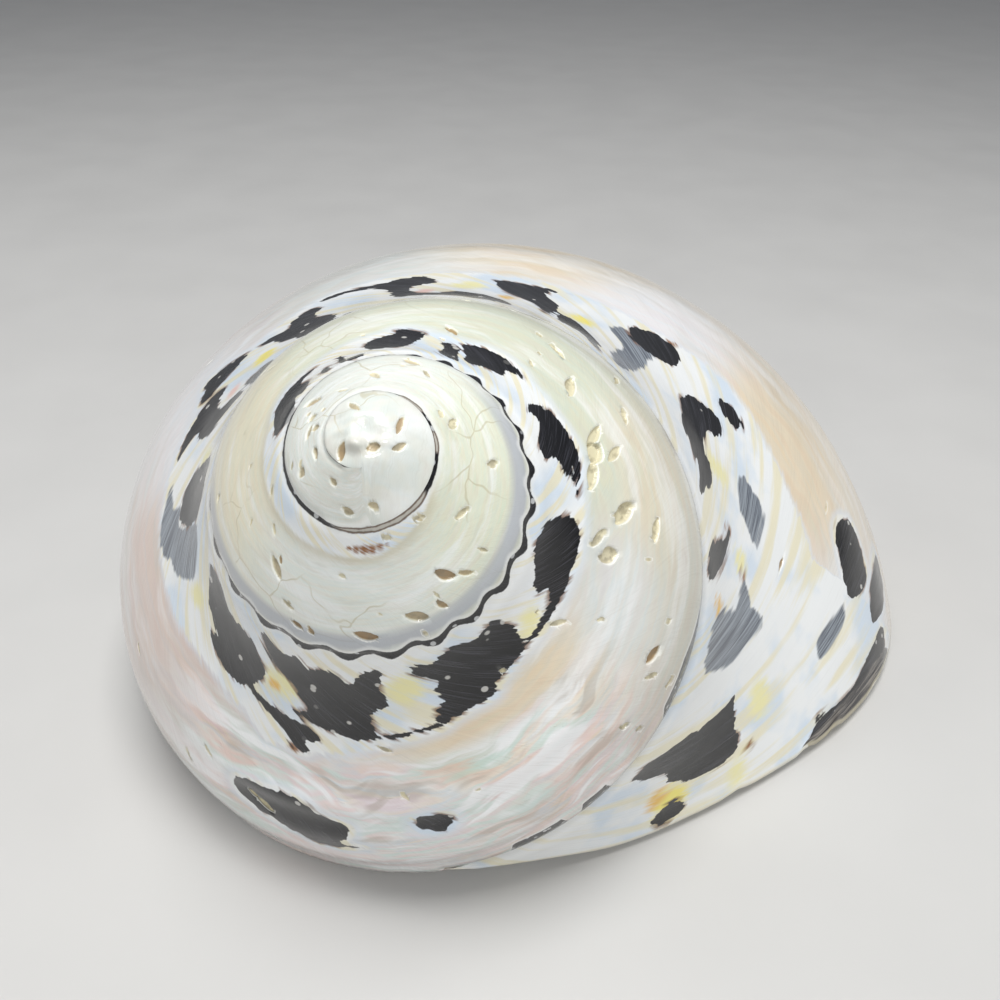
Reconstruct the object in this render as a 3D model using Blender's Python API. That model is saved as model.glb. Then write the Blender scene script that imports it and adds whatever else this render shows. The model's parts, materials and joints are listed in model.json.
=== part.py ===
"""A turban shell, polished, resting on the rim of its aperture.

The shell is one hollow solid, in metres, with +Z up and its origin under the middle of its base.
Its surface follows one growing spiral. Turns are counted back from the lip, where the suture ends,
towards the apex. Each place on the shell is a turn and a column: columns run down a whorl from its
upper suture, round the base and into the umbilicus. The rows of columns start where the last whorl
meets the ground, so the shell rests on the whole rim of its lip.
"""
import math

import bpy
import numpy as np

# The suture's spiral, from the lip towards the apex
SUTURE_RADIUS = 0.0252
SUTURE_DEPTH = 0.0328
WHORL_EXPANSION = 2.308
GROWTH_SLOWING = 0.019
SPIRE_CURVE = 1.286
APEX_TURN = 3.4

# One whorl's outline, as shares of the distance between its two sutures
SHOULDER_HOLLOW = math.radians(8.4)
SHOULDER_REACH = 0.434
PERIPHERY_BULGE = math.radians(22.3)
PERIPHERY_REACH = 0.47
EARLY_WHORL_RELIEF = 0.35
RELIEF_FADES_FROM_TURN = 1.2
BASE_INSET = 0.642
BASE_DROP = 0.114
BASE_CROWN = 0.55
UMBILICUS_SHARE = 0.13
UMBILICUS_RISE = 0.03
LIP_FLARE = 0.085
FLARE_TURNS = 0.35

# How far the last whorl's lower edge falls short of the spiral at the lip, in radius and in height
LAST_WHORL_SHORTFALL = (0.044, 0.121)

# Walls
OUTER_WALL = 0.0030
LIP_WALL = 0.0012
COLUMELLA_WALL = 0.0032
COLUMELLA_LIP_WALL = 0.0024
PARIETAL_GLAZE = 0.0004
WALL_GROWTH_TURNS = 0.12
WALL_TAPER = 0.8
SHARPEST_MITER = 2.2

# How the shell lies
TILT = math.radians(41.8)
LEAN_AZIMUTH = math.radians(-6.9)
SUTURE_END_AZIMUTH = math.radians(-92.0)
APEX_HEIGHT = 0.04364

# Where the inner lip crosses the base to the umbilicus, and how far the hollow runs back
PARIETAL_SWEEP = 0.38
CAVITY_TURNS = 1.25
CAVITY_END_TURNS = 0.05

# Fineness
ROWS_PER_TURN = 48
SIDE_STEPS = 10
BASE_STEPS = 5
RIM_STEPS = 2
UMBILICUS_STEPS = 3
UMBILICUS_ROWS = 2 * ROWS_PER_TURN
SEARCH_STEPS = 40

LOWER_SUTURE = SIDE_STEPS
RIM_COLUMN = SIDE_STEPS + BASE_STEPS + 1
UMBILICUS_COLUMN = SIDE_STEPS + BASE_STEPS + RIM_STEPS

SHELL_COLOUR = (0.72, 0.64, 0.53, 1.0)
SHELL_ROUGHNESS = 0.25


def growth(turn):
    return WHORL_EXPANSION ** -(turn + GROWTH_SLOWING * turn * turn)


def suture(turn):
    """Radius and height of the suture, below the apex, as an array of (radius, height)."""
    size = growth(turn)
    return np.stack([SUTURE_RADIUS * size, -SUTURE_DEPTH * size ** SPIRE_CURVE], -1)


def bezier(start, start_handle, end_handle, end, steps, first):
    """Points of a cubic curve, from step number first to the last."""
    share = (np.arange(first, steps + 1) / steps)[:, None]
    rest = 1.0 - share
    return (rest ** 3 * start[:, None] + 3 * rest ** 2 * share * start_handle[:, None]
            + 3 * rest * share ** 2 * end_handle[:, None] + share ** 3 * end[:, None])


def direction(angle):
    return np.stack([np.cos(angle), np.sin(angle)], -1)


def outer_profile(turn):
    """Outline of a whorl at each turn, from its upper suture to the edge of the umbilicus."""
    turn = np.asarray(turn, dtype=float)
    upper = suture(turn)
    flare = 1.0 + LIP_FLARE * np.clip(1.0 - turn / FLARE_TURNS, 0.0, None) ** 2
    shortfall = np.clip(1.0 - turn, 0.0, None)[:, None] ** 1.5 * np.array(LAST_WHORL_SHORTFALL)
    lower = upper + (suture(turn - 1.0) * (1.0 - shortfall) - upper) * flare[:, None]
    chord = lower - upper
    length = np.linalg.norm(chord, axis=1)[:, None]
    slope = np.arctan2(chord[:, 1], chord[:, 0])
    relief = np.clip(1.0 + RELIEF_FADES_FROM_TURN - turn, EARLY_WHORL_RELIEF, 1.0)
    leaving = direction(slope - SHOULDER_HOLLOW * relief)
    arriving = direction(slope - PERIPHERY_BULGE * relief)
    side = bezier(upper, upper + SHOULDER_REACH * length * leaving,
                  lower - PERIPHERY_REACH * length * arriving, lower, SIDE_STEPS, 0)
    lowest = lower - length * np.array([BASE_INSET, BASE_DROP])
    inwards = np.array([-1.0, 0.0])
    base = bezier(lower, lower + BASE_CROWN * BASE_DROP * length * arriving,
                  lowest - 0.5 * BASE_INSET * length * inwards, lowest, BASE_STEPS, 1)
    edge = np.stack([UMBILICUS_SHARE * lower[:, 0], lowest[:, 1] + UMBILICUS_RISE * length[:, 0]], -1)
    width = (lowest[:, 0] - edge[:, 0])[:, None]
    rim = bezier(lowest, lowest + 0.4 * width * inwards,
                 edge + 0.4 * width * np.array([0.7, -0.5]), edge, RIM_STEPS, 1)
    return np.concatenate([side, base, rim], 1)


def section(turn):
    """Closed outline of the last whorl's tube: outer wall, umbilicus wall, then the whorl before it."""
    outer = outer_profile(turn)
    before = outer_profile(np.asarray(turn) + 1.0)
    share = (np.arange(1, UMBILICUS_STEPS) / UMBILICUS_STEPS)[:, None]
    start = outer[:, -1][:, None]
    end = before[:, -1][:, None]
    umbilicus = start + (end - start) * share
    parietal = before[:, LOWER_SUTURE + 1:][:, ::-1]
    return np.concatenate([outer, umbilicus, parietal], 1)


SECTION_POINTS = UMBILICUS_COLUMN + UMBILICUS_STEPS + BASE_STEPS + RIM_STEPS
PARIETAL_COLUMN = UMBILICUS_COLUMN + UMBILICUS_STEPS


def inset_section(turn, wall):
    """The section moved inwards by wall, given for each turn and point."""
    points = section(turn)
    ahead = np.roll(points, -1, axis=1) - points
    behind = np.roll(ahead, 1, axis=1)
    ahead /= np.linalg.norm(ahead, axis=2, keepdims=True)
    behind /= np.linalg.norm(behind, axis=2, keepdims=True)
    tangent = ahead + behind
    tangent /= np.linalg.norm(tangent, axis=2, keepdims=True)
    normal = np.stack([tangent[..., 1], -tangent[..., 0]], -1)
    cosine = np.clip((tangent * ahead).sum(2), 1.0 / SHARPEST_MITER, 1.0)
    return points + normal * (wall / cosine)[..., None]


def shell_axes():
    """The shell's own axes in the world: two across it, then the one towards its apex."""
    apex_axis = np.array([math.sin(TILT) * math.sin(LEAN_AZIMUTH),
                          -math.sin(TILT) * math.cos(LEAN_AZIMUTH),
                          math.cos(TILT)])
    across = np.cross([0.0, 1.0, 0.0], apex_axis)
    across /= np.linalg.norm(across)
    return np.array([across, np.cross(apex_axis, across), apex_axis])


def place(profile_points, turn):
    """World places of (radius, height) points at their turns, with the ground at height 0."""
    azimuth = SUTURE_END_AZIMUTH + 2.0 * math.pi * np.asarray(turn)
    radius = profile_points[..., 0]
    in_shell = np.stack([radius * np.cos(azimuth), radius * np.sin(azimuth), profile_points[..., 1]], -1)
    return in_shell @ shell_axes() + np.array([0.0, 0.0, APEX_HEIGHT])


def ground_turn(height_at, start, end):
    """The turn where a column that is underground at start and above it at end meets the ground."""
    if height_at(start) > 0.0:
        return None
    for _ in range(SEARCH_STEPS):
        middle = 0.5 * (start + end)
        if height_at(middle) > 0.0:
            end = middle
        else:
            start = middle
    return 0.5 * (start + end)


def lip_turns(column_point):
    """For each outer column, the turn where it reaches the ground. The suture ends at turn 0."""
    turns = [0.0]
    for column in range(1, UMBILICUS_COLUMN + 1):
        def height_at(turn, column=column):
            return place(column_point(turn)[column], turn)[2]
        turns.append(ground_turn(height_at, -0.15, 0.5) or 0.0)
    return np.array(turns)


def outer_turns():
    """Turn of every outer column on each row of the last whorl, from the lip to one turn back."""
    lip = lip_turns(lambda turn: outer_profile(np.array([turn]))[0])
    back = np.ones(UMBILICUS_COLUMN + 1)
    share = np.arange(1, BASE_STEPS + RIM_STEPS + 1) / (BASE_STEPS + RIM_STEPS)
    back[LOWER_SUTURE + 1:] += PARIETAL_SWEEP * share
    row = (np.arange(ROWS_PER_TURN + 1) / ROWS_PER_TURN)[:, None]
    return lip + (back - lip) * row


def wall_at(turn, since_lip):
    """Thickness of each wall of the section: thin at the lip, and thinner in earlier whorls."""
    share = np.clip(since_lip / WALL_GROWTH_TURNS, 0.0, 1.0)
    size = growth(turn) ** WALL_TAPER
    walls = np.empty((len(turn), SECTION_POINTS))
    walls[:, :RIM_COLUMN] = (size * (LIP_WALL + (OUTER_WALL - LIP_WALL) * share))[:, None]
    columella = size * (COLUMELLA_LIP_WALL + (COLUMELLA_WALL - COLUMELLA_LIP_WALL) * share)
    walls[:, RIM_COLUMN:PARIETAL_COLUMN] = columella[:, None]
    walls[:, PARIETAL_COLUMN:] = (PARIETAL_GLAZE * share)[:, None]
    return walls


class Mesh:
    """Vertices and faces, gathered a grid at a time."""

    def __init__(self):
        self.vertices = []
        self.faces = []

    def add(self, points):
        first = len(self.vertices)
        self.vertices.extend(np.asarray(points).reshape(-1, 3).tolist())
        return np.arange(first, len(self.vertices)).reshape(np.asarray(points).shape[:-1])

    def strip(self, left, right):
        """Quads between two lines of vertices, or triangles where they share one."""
        for near, far in zip(range(len(left) - 1), range(1, len(left))):
            corners = [int(left[near]), int(left[far]), int(right[far]), int(right[near])]
            distinct = list(dict.fromkeys(corners))
            if len(distinct) > 2:
                self.faces.append(distinct)

    def grid(self, rows):
        for near, far in zip(rows[:-1], rows[1:]):
            self.strip(near, far)

    def fan(self, loop, centre):
        for near, far in zip(loop, np.roll(loop, -1)):
            self.faces.append([int(near), int(far), int(centre)])


def build_shell():
    mesh = Mesh()
    turns = outer_turns()
    rows = ROWS_PER_TURN
    last_row = round(APEX_TURN * rows)

    # The last whorl, from its lip to one turn back
    columns = np.arange(UMBILICUS_COLUMN + 1)
    last_whorl = np.array([place(outer_profile(row_turns)[columns, columns], row_turns) for row_turns in turns])
    last_whorl = mesh.add(last_whorl[:-1])
    suture_line = list(last_whorl[:, 0])

    # The spire: each row's lower end is the suture of one turn before
    sides = []
    for row in range(rows, last_row + 1):
        turn = np.array([row / rows])
        points = mesh.add(place(outer_profile(turn)[0, :LOWER_SUTURE], turn))
        suture_line.append(points[0])
        sides.append(np.append(points, suture_line[row - rows]))

    # The base where the hollow begins: the first row that the last whorl covers
    covered = turns[-1, LOWER_SUTURE + 1:]
    line = np.arange(LOWER_SUTURE + 1, UMBILICUS_COLUMN + 1)
    parietal = mesh.add(place(outer_profile(covered)[np.arange(len(line)), line], covered))

    full_rows = [list(row) for row in last_whorl] + [list(sides[0]) + list(parietal)]
    mesh.grid(full_rows)
    mesh.grid(sides)
    apex_turn = np.array([APEX_TURN + 0.25])
    apex = mesh.add(place(suture(apex_turn) * np.array([0.0, 1.0]), apex_turn))[0]
    mesh.fan(list(sides[-1]) + suture_line[last_row - rows + 1:last_row], apex)

    # The umbilicus: its edge's spiral goes on inwards, and a wall joins each turn to the next
    deeper = turns[-1, -1] + np.arange(1, 2 * rows + 1) / rows
    edge_turns = np.concatenate([turns[:, -1], deeper])
    edge = [row[-1] for row in full_rows] + list(mesh.add(place(outer_profile(deeper)[:, -1], deeper)))
    walls = []
    share = np.arange(1, UMBILICUS_STEPS) / UMBILICUS_STEPS
    wall_columns = UMBILICUS_COLUMN + np.arange(1, UMBILICUS_STEPS)
    for row in range(UMBILICUS_ROWS + 1):
        wall_turns = edge_turns[row] + share * (edge_turns[row + rows] - 1.0 - edge_turns[row])
        inner = place(section(wall_turns)[np.arange(len(share)), wall_columns], wall_turns)
        walls.append([edge[row]] + list(mesh.add(inner)) + [edge[row + rows]])
    mesh.grid(walls)
    bottom_turn = edge_turns[-1:]
    bottom = mesh.add(place(outer_profile(bottom_turn)[:, -1] * np.array([0.0, 1.0]), bottom_turn))[0]
    mesh.fan(walls[-1] + edge[UMBILICUS_ROWS + rows - 1:UMBILICUS_ROWS:-1], bottom)

    # The hollow: its mouth is the inner edge of the lip and the covered base
    def lip_section(turn):
        return inset_section(np.array([turn]), wall_at(np.array([turn]), np.array([0.0])))[0]
    mouth_turns = np.empty(SECTION_POINTS)
    mouth_turns[:UMBILICUS_COLUMN + 1] = lip_turns(lip_section)
    wall_turns = edge_turns[0] + share * (edge_turns[rows] - 1.0 - edge_turns[0])
    mouth_turns[wall_columns] = wall_turns
    mouth_turns[PARIETAL_COLUMN:] = covered[::-1] - 1.0
    inner_columns = np.arange(1, PARIETAL_COLUMN)
    inner_turns = mouth_turns[inner_columns]
    no_depth = np.zeros(len(inner_turns))
    inner_lip = inset_section(inner_turns, wall_at(inner_turns, no_depth))[np.arange(len(inner_turns)), inner_columns]
    inner_lip = mesh.add(place(inner_lip, inner_turns))
    outer_lip = full_rows[0] + walls[0][1:]
    rim = [outer_lip[0]] + list(inner_lip) + [outer_lip[-1]]
    mesh.strip(rim, outer_lip)
    mouth = rim[:-1] + list(parietal[::-1])

    rings = [mouth + mouth[:1]]
    ring_count = round(CAVITY_TURNS * rows)
    every = np.arange(SECTION_POINTS)
    for ring in range(1, ring_count + 1):
        depth = (CAVITY_TURNS - mouth_turns) * ring / ring_count
        ring_turns = mouth_turns + depth
        points = inset_section(ring_turns, wall_at(ring_turns, depth))[every, every]
        points = list(mesh.add(place(points, ring_turns)))
        rings.append(points + points[:1])
    mesh.grid(rings[::-1])
    end_turn = np.array([CAVITY_TURNS + CAVITY_END_TURNS])
    end = mesh.add(place(section(end_turn).mean(1), end_turn))[0]
    mesh.fan(rings[-1][-2::-1], end)
    return mesh


def shell_material():
    material = bpy.data.materials.new("shell")
    material.use_nodes = True
    surface = material.node_tree.nodes["Principled BSDF"]
    surface.inputs["Base Color"].default_value = SHELL_COLOUR
    surface.inputs["Roughness"].default_value = SHELL_ROUGHNESS
    surface.inputs["Metallic"].default_value = 0.0
    return material


def make_object(name, mesh):
    """One object, moved so that its box stands centred over the origin."""
    places = np.array(mesh.vertices)
    low = places.min(0)
    high = places.max(0)
    places -= np.array([(low[0] + high[0]) / 2.0, (low[1] + high[1]) / 2.0, low[2]])
    data = bpy.data.meshes.new(name)
    data.from_pydata(places.tolist(), [], mesh.faces)
    data.validate()
    data.shade_smooth()
    data.set_sharp_from_angle(angle=math.radians(45.0))
    data.materials.append(shell_material())
    shell = bpy.data.objects.new(name, data)
    bpy.context.collection.objects.link(shell)
    return shell


def main():
    for old in list(bpy.data.objects):
        bpy.data.objects.remove(old)
    make_object("shell", build_shell())


main()
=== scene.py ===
"""The looks of a polished turban shell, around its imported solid.

The surface follows the solid's own growing spiral, more finely. Every place on it has a turn and a
column. Turns are counted back from the lip, where the suture ends, towards the apex. Columns run down
a whorl: 0 is its upper suture, 1 its lower suture, 2 the lowest line of the base, 3 the edge of the
umbilicus and 4 the same edge one turn earlier. Markings are outlines of (turn, column) points. Their
distance in millimetres is stored at each face corner, and the material turns it into sharp edges.
"""
import json
import math

import bpy
import numpy as np
from mathutils import Matrix, Vector

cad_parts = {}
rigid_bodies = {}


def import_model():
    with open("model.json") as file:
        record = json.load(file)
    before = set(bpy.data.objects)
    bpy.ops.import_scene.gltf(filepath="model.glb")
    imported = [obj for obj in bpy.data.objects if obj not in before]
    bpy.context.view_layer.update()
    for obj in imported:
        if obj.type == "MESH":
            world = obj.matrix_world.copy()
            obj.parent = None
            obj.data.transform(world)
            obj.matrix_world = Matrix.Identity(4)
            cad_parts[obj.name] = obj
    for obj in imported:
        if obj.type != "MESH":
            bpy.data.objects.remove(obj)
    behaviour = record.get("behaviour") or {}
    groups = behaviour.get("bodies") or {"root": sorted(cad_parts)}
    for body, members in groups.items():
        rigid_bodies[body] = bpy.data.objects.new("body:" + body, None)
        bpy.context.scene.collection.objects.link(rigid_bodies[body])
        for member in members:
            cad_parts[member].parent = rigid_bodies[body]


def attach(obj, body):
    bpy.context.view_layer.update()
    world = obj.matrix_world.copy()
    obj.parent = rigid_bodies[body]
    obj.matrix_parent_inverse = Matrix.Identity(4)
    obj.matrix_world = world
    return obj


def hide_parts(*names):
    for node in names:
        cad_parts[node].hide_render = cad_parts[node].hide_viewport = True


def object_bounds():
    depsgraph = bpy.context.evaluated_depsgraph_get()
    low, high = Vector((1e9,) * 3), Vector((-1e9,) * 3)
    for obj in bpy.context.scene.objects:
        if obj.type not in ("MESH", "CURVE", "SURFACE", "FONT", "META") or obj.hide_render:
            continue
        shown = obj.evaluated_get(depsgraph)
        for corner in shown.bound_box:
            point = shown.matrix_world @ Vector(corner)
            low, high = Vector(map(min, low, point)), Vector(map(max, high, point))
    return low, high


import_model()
solid_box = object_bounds()

# The solid's driving values, in metres
SUTURE_RADIUS = 0.0252
SUTURE_DEPTH = 0.0328
WHORL_EXPANSION = 2.308
GROWTH_SLOWING = 0.019
SPIRE_CURVE = 1.286
SHOULDER_HOLLOW = math.radians(8.4)
SHOULDER_REACH = 0.434
PERIPHERY_BULGE = math.radians(22.3)
PERIPHERY_REACH = 0.47
EARLY_WHORL_RELIEF = 0.35
RELIEF_FADES_FROM_TURN = 1.2
BASE_INSET = 0.642
BASE_DROP = 0.114
BASE_CROWN = 0.55
UMBILICUS_SHARE = 0.13
UMBILICUS_RISE = 0.03
LIP_FLARE = 0.085
FLARE_TURNS = 0.35
LAST_WHORL_SHORTFALL = (0.044, 0.121)
OUTER_WALL = 0.0030
LIP_WALL = 0.0012
COLUMELLA_WALL = 0.0032
COLUMELLA_LIP_WALL = 0.0024
PARIETAL_GLAZE = 0.0004
WALL_GROWTH_TURNS = 0.12
WALL_TAPER = 0.8
SHARPEST_MITER = 2.2
TILT = math.radians(41.8)
LEAN_AZIMUTH = math.radians(-6.9)
SUTURE_END_AZIMUTH = math.radians(-92.0)
APEX_HEIGHT = 0.04364
PARIETAL_SWEEP = 0.38
CAVITY_TURNS = 1.25
CAVITY_END_TURNS = 0.05
APEX = np.array([0.0, 0.0, APEX_HEIGHT])

# The solid's steps round a section of its tube: side, base, rim, umbilicus wall, then the whorl before
SIDE_STEPS = 10
BASE_STEPS = 5
RIM_STEPS = 2
UMBILICUS_STEPS = 3
RIM_STEP = SIDE_STEPS + BASE_STEPS + 1
PARIETAL_STEP = SIDE_STEPS + BASE_STEPS + RIM_STEPS + UMBILICUS_STEPS
PARIETAL_STEPS = BASE_STEPS + RIM_STEPS
SECTION_STEPS = PARIETAL_STEP + PARIETAL_STEPS

# Columns and the solid's steps there. Past column 4 the section runs over the whorl before
WHOLE_COLUMNS = (0, 1, 2, 3, 4, 6)
COLUMN_STEPS = (0, SIDE_STEPS, SIDE_STEPS + BASE_STEPS, PARIETAL_STEP - UMBILICUS_STEPS,
                PARIETAL_STEP, SECTION_STEPS)

# Fineness of the surface
LAST_ROWS = 384
LAST_COLUMNS = 64
SPIRE_WHORLS = ((384, 40), (192, 24))
OUTER_BASE_COLUMNS = 12
INNER_BASE_COLUMNS = 18
INNER_BASE_ROWS = 192
UMBILICUS_ROWS = 96
UMBILICUS_COLUMNS = 6
UMBILICUS_TURNS = 2
CAVITY_RINGS = 140
CAVITY_COLUMNS = 66
CAP_RINGS = 14
SEARCH_STEPS = 40
LIP_SEARCH = (-0.15, 0.5)

# The worn tip: its coordinates for the markings, which run evenly over it, and how it is smoothed
CAP_TURN = 3.1
CAP_COLUMN = 0.5
CAP_GRAIN = 25.0
TIP_FROM_TURN = 2.8
TIP_ROUNDS = 40
TIP_RADIUS = 0.009
SPIRE_TURNS = 3.0

# The lip's rounded edge, which rises to the suture where the lip begins
LIP_RISES_TO_COLUMN = 0.16
LIP_ROUNDING = 0.00025
LIP_ROUNDING_SHARES = (0.12, 0.35, 0.65, 0.88, 1.0)

# Black flames and spots, as outlines of (turn, column) points
BLACK = [
    [(.105, .025), (.125, .05), (.135, .07), (.15, .10), (.125, .10), (.115, .07)],
    [(.12, .105), (.15, .11), (.165, .15), (.175, .17), (.165, .195), (.155, .235), (.14, .20), (.125, .14)],
    [(.10, .15), (.115, .155), (.117, .19), (.105, .185)],
    [(.22, .02), (.232, .02), (.243, .05), (.248, .09), (.257, .13), (.243, .10), (.232, .07)],
    [(.27, .035), (.285, .07), (.305, .09), (.32, .12), (.33, .17), (.338, .21), (.335, .25), (.32, .28),
     (.31, .23), (.315, .20), (.305, .15), (.285, .12), (.275, .08)],
    [(.315, .32), (.328, .315), (.332, .345), (.327, .37), (.317, .36)],
    [(.24, .55), (.25, .54), (.262, .545), (.27, .58), (.27, .65), (.262, .66), (.247, .66), (.238, .58)],
    [(.172, .45), (.184, .45), (.195, .52), (.206, .60), (.196, .60), (.182, .53)],
    [(.196, .60), (.21, .60), (.222, .66), (.232, .73), (.22, .74), (.206, .66)],
    [(.232, .66), (.245, .68), (.256, .74), (.262, .80), (.25, .80), (.238, .74)],
    [(.36, .27), (.378, .25), (.388, .29), (.386, .34), (.376, .37), (.364, .36), (.358, .31)],
    [(.375, .03), (.40, .10), (.415, .12), (.418, .17), (.41, .18), (.40, .15), (.385, .10)],
    [(.425, .13), (.435, .19), (.455, .23), (.467, .31), (.465, .33), (.44, .33), (.418, .35), (.436, .32),
     (.435, .27), (.425, .22)],
    [(.447, .11), (.48, .14), (.50, .165), (.52, .19), (.525, .23), (.53, .30), (.54, .36), (.57, .41),
     (.56, .42), (.535, .37), (.51, .37), (.50, .30), (.515, .28), (.51, .21), (.50, .19), (.48, .20),
     (.455, .16)],
    [(.53, .005), (.56, .0), (.572, .06), (.57, .13), (.56, .18), (.545, .15), (.54, .08)],
    [(.585, .17), (.60, .27), (.605, .33), (.612, .37), (.592, .34), (.588, .38), (.575, .39), (.57, .35),
     (.575, .30), (.56, .20), (.575, .17)],
    [(.607, .05), (.62, .0), (.635, .0), (.632, .08), (.638, .17), (.635, .21), (.62, .19), (.61, .14)],
    [(.645, .15), (.66, .18), (.68, .22), (.683, .28), (.68, .33), (.70, .38), (.66, .38), (.645, .33),
     (.655, .30), (.66, .25), (.645, .20)],
    [(.62, .385), (.65, .385), (.66, .42), (.652, .46), (.65, .49), (.64, .48), (.63, .44)],
    [(.70, .10), (.72, .09), (.745, .12), (.748, .20), (.74, .27), (.72, .26), (.705, .20)],
    [(.79, .07), (.80, .06), (.82, .08), (.82, .14), (.818, .18), (.81, .17), (.80, .12)],
    [(.82, .09), (.835, .10), (.86, .10), (.875, .14), (.883, .17), (.878, .24), (.87, .28), (.86, .29),
     (.845, .28), (.825, .24), (.835, .225), (.82, .17)],
    [(.87, .26), (.90, .28), (.92, .285), (.935, .32), (.925, .35), (.93, .38), (.92, .39), (.905, .33)],
    [(.872, .04), (.895, .065), (.91, .05), (.918, .08), (.93, .06), (.945, .07), (.955, .10), (.965, .06),
     (.98, .04), (.985, .06), (.98, .10), (.985, .17), (.97, .20), (.975, .27), (.97, .295), (.95, .29),
     (.91, .25), (.925, .23), (.905, .15), (.89, .13), (.875, .08)],
    [(.97, .28), (1.02, .27), (1.02, .285), (.97, .295)],
    [(.893, .62), (.905, .60), (.92, .58), (.935, .60), (.94, .63), (.955, .66), (.958, .70), (.955, .76),
     (.965, .77), (.96, .79), (.94, .80), (.93, .77), (.895, .71), (.89, .66)],
    [(.995, .62), (1.005, .62), (1.014, .65), (1.012, .69), (1.005, .70), (.995, .67)],
    [(1.01, .05), (1.03, .06), (1.05, .04), (1.07, .06), (1.09, .05), (1.105, .10), (1.105, .17),
     (1.10, .20), (1.07, .23), (1.065, .26), (1.04, .26), (1.0, .29), (1.02, .25), (1.02, .22), (1.03, .19),
     (1.02, .16), (1.03, .13), (1.01, .08)],
    [(1.14, .11), (1.16, .06), (1.175, .04), (1.19, .05), (1.205, .08), (1.215, .14), (1.215, .20),
     (1.19, .215), (1.16, .21), (1.10, .205), (1.10, .195), (1.14, .18), (1.15, .15)],
    [(1.25, .16), (1.27, .13), (1.265, .08), (1.28, .06), (1.31, .12), (1.32, .10), (1.33, .14), (1.325, .19),
     (1.32, .22), (1.30, .24), (1.275, .25), (1.24, .20), (1.265, .20)],
    [(1.37, .15), (1.39, .12), (1.40, .09), (1.41, .10), (1.415, .15), (1.43, .24), (1.415, .28),
     (1.39, .285), (1.37, .26), (1.36, .23), (1.375, .21)],
    [(1.41, .05), (1.43, .06), (1.44, .10), (1.44, .16), (1.45, .22), (1.43, .20), (1.42, .12)],
    [(1.48, .12), (1.50, .10), (1.525, .12), (1.53, .24), (1.50, .30), (1.50, .35), (1.48, .32), (1.47, .28)],
    [(1.53, .03), (1.55, .03), (1.55, .08), (1.53, .08)],
    [(1.555, .05), (1.562, .05), (1.565, .17), (1.558, .17)],
    [(1.578, .05), (1.59, .05), (1.59, .12), (1.58, .12)],
    [(1.615, .07), (1.63, .04), (1.64, .08), (1.65, .03), (1.67, .0), (1.69, .03), (1.705, .09), (1.69, .14),
     (1.665, .23), (1.64, .25), (1.60, .24), (1.595, .22), (1.62, .18), (1.61, .12)],
]

# Flames that show through a thin white layer, grey-blue
GREY = [
    [(.175, .05), (.20, .05), (.21, .09), (.215, .13), (.232, .15), (.22, .18), (.215, .22), (.20, .17),
     (.185, .13)],
    [(.25, .21), (.27, .19), (.285, .22), (.288, .25), (.28, .27), (.27, .28), (.26, .25)],
    [(.208, .43), (.216, .42), (.228, .48), (.235, .53), (.226, .52), (.214, .47)],
    [(.358, .05), (.37, .07), (.378, .13), (.38, .20), (.395, .24), (.39, .29), (.37, .28), (.362, .18)],
    [(.755, .13), (.77, .14), (.785, .18), (.787, .22), (.778, .30), (.765, .33), (.76, .37), (.745, .40),
     (.712, .37), (.73, .33), (.73, .27), (.745, .27), (.75, .15)],
]

# The column where the white outer layer ends and nacre begins, at each turn
LAYER_EDGE = (
    (0.0, 1.6), (.20, 1.4), (.225, .9), (.25, .42), (.30, .40), (.34, .43), (.38, .38), (.42, .36),
    (.50, .38), (.57, .44), (.62, .39), (.74, .40), (.80, .37), (.84, .34), (.88, .36), (.90, .42),
    (.95, .36), (1.0, .30), (1.05, .27), (1.12, .21), (1.20, .23), (1.35, .26), (1.44, .30), (1.50, .35),
    (1.60, .28), (1.70, .20), (1.80, .18), (2.0, .20), (2.1, .10), (2.3, -.2))

# Relief of the real surface, in millimetres
GROOVE_DEPTH = 0.20
GROOVE_WIDTH = 0.28
EDGE_RISE = 0.05
EDGE_WIDTH = 0.35
EDGE_FROM_SUTURE = 0.75
UNEVENNESS = 0.05
FINE_UNEVENNESS = 0.010
PEARL_RELIEF = 0.10
PEARL_WAVES_ALONG = 7.0
PEARL_WAVES_ACROSS = 8.0
CRATER_DEPTH = 0.35
CRATER_RADIUS = 1.5
CHIP_DEPTH = 0.6
LIP_MM_PER_COLUMN = 30.0
FAR = 99.0

# Waves that make the relief uneven: how many, the shortest and longest, and the seed
COARSE_WAVES = (12, 9.0, 22.0, 3)
FINE_WAVES = (16, 2.2, 5.0, 4)
PEARL_WAVES = (9, 0.8, 2.2, 5)
CRATER_WAVES = (8, 0.8, 1.8, 6)
CHIP_WAVES = (16, 1.5, 5.0, 9)

# Pits: the longest edges of the triangles there at each refining, and how far round a pit they are finer
PIT_EDGES = (0.00030, 0.00018, 0.00014)
PIT_MARGIN = 0.45
PIT_REACH = 1.3

# How far off the surface a pit still reaches, the seed, the share of round pits and the greatest depth
PIT_THROUGH = 0.0012
PIT_SEED = 23
ROUND_PITS = 0.35
DEEPEST_PIT = 0.00045

# A pit's angle to the spiral in radians, width and depth as shares of the size across it, and bend
PIT_ANGLES = (0.2, 1.3)
LEAF_WIDTHS = (0.34, 0.6)
ROUND_WIDTH = 0.85
ROUND_LENGTH = 0.75
PIT_SINKS = 0.45
PIT_DEPTHS = (0.8, 1.3)
PIT_BENDS = (-0.35, 0.35)

# Pits where the photo shows none: how many, and between which turns, columns, lengths and shares of brown
RANDOM_PITS = ((34, (0.15, 1.0), (0.45, 2.0), (0.6, 1.8), (0.0, 0.6)),
               (46, (1.02, 2.9), (0.08, 0.95), (0.35, 0.9), (0.0, 0.5)))

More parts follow.
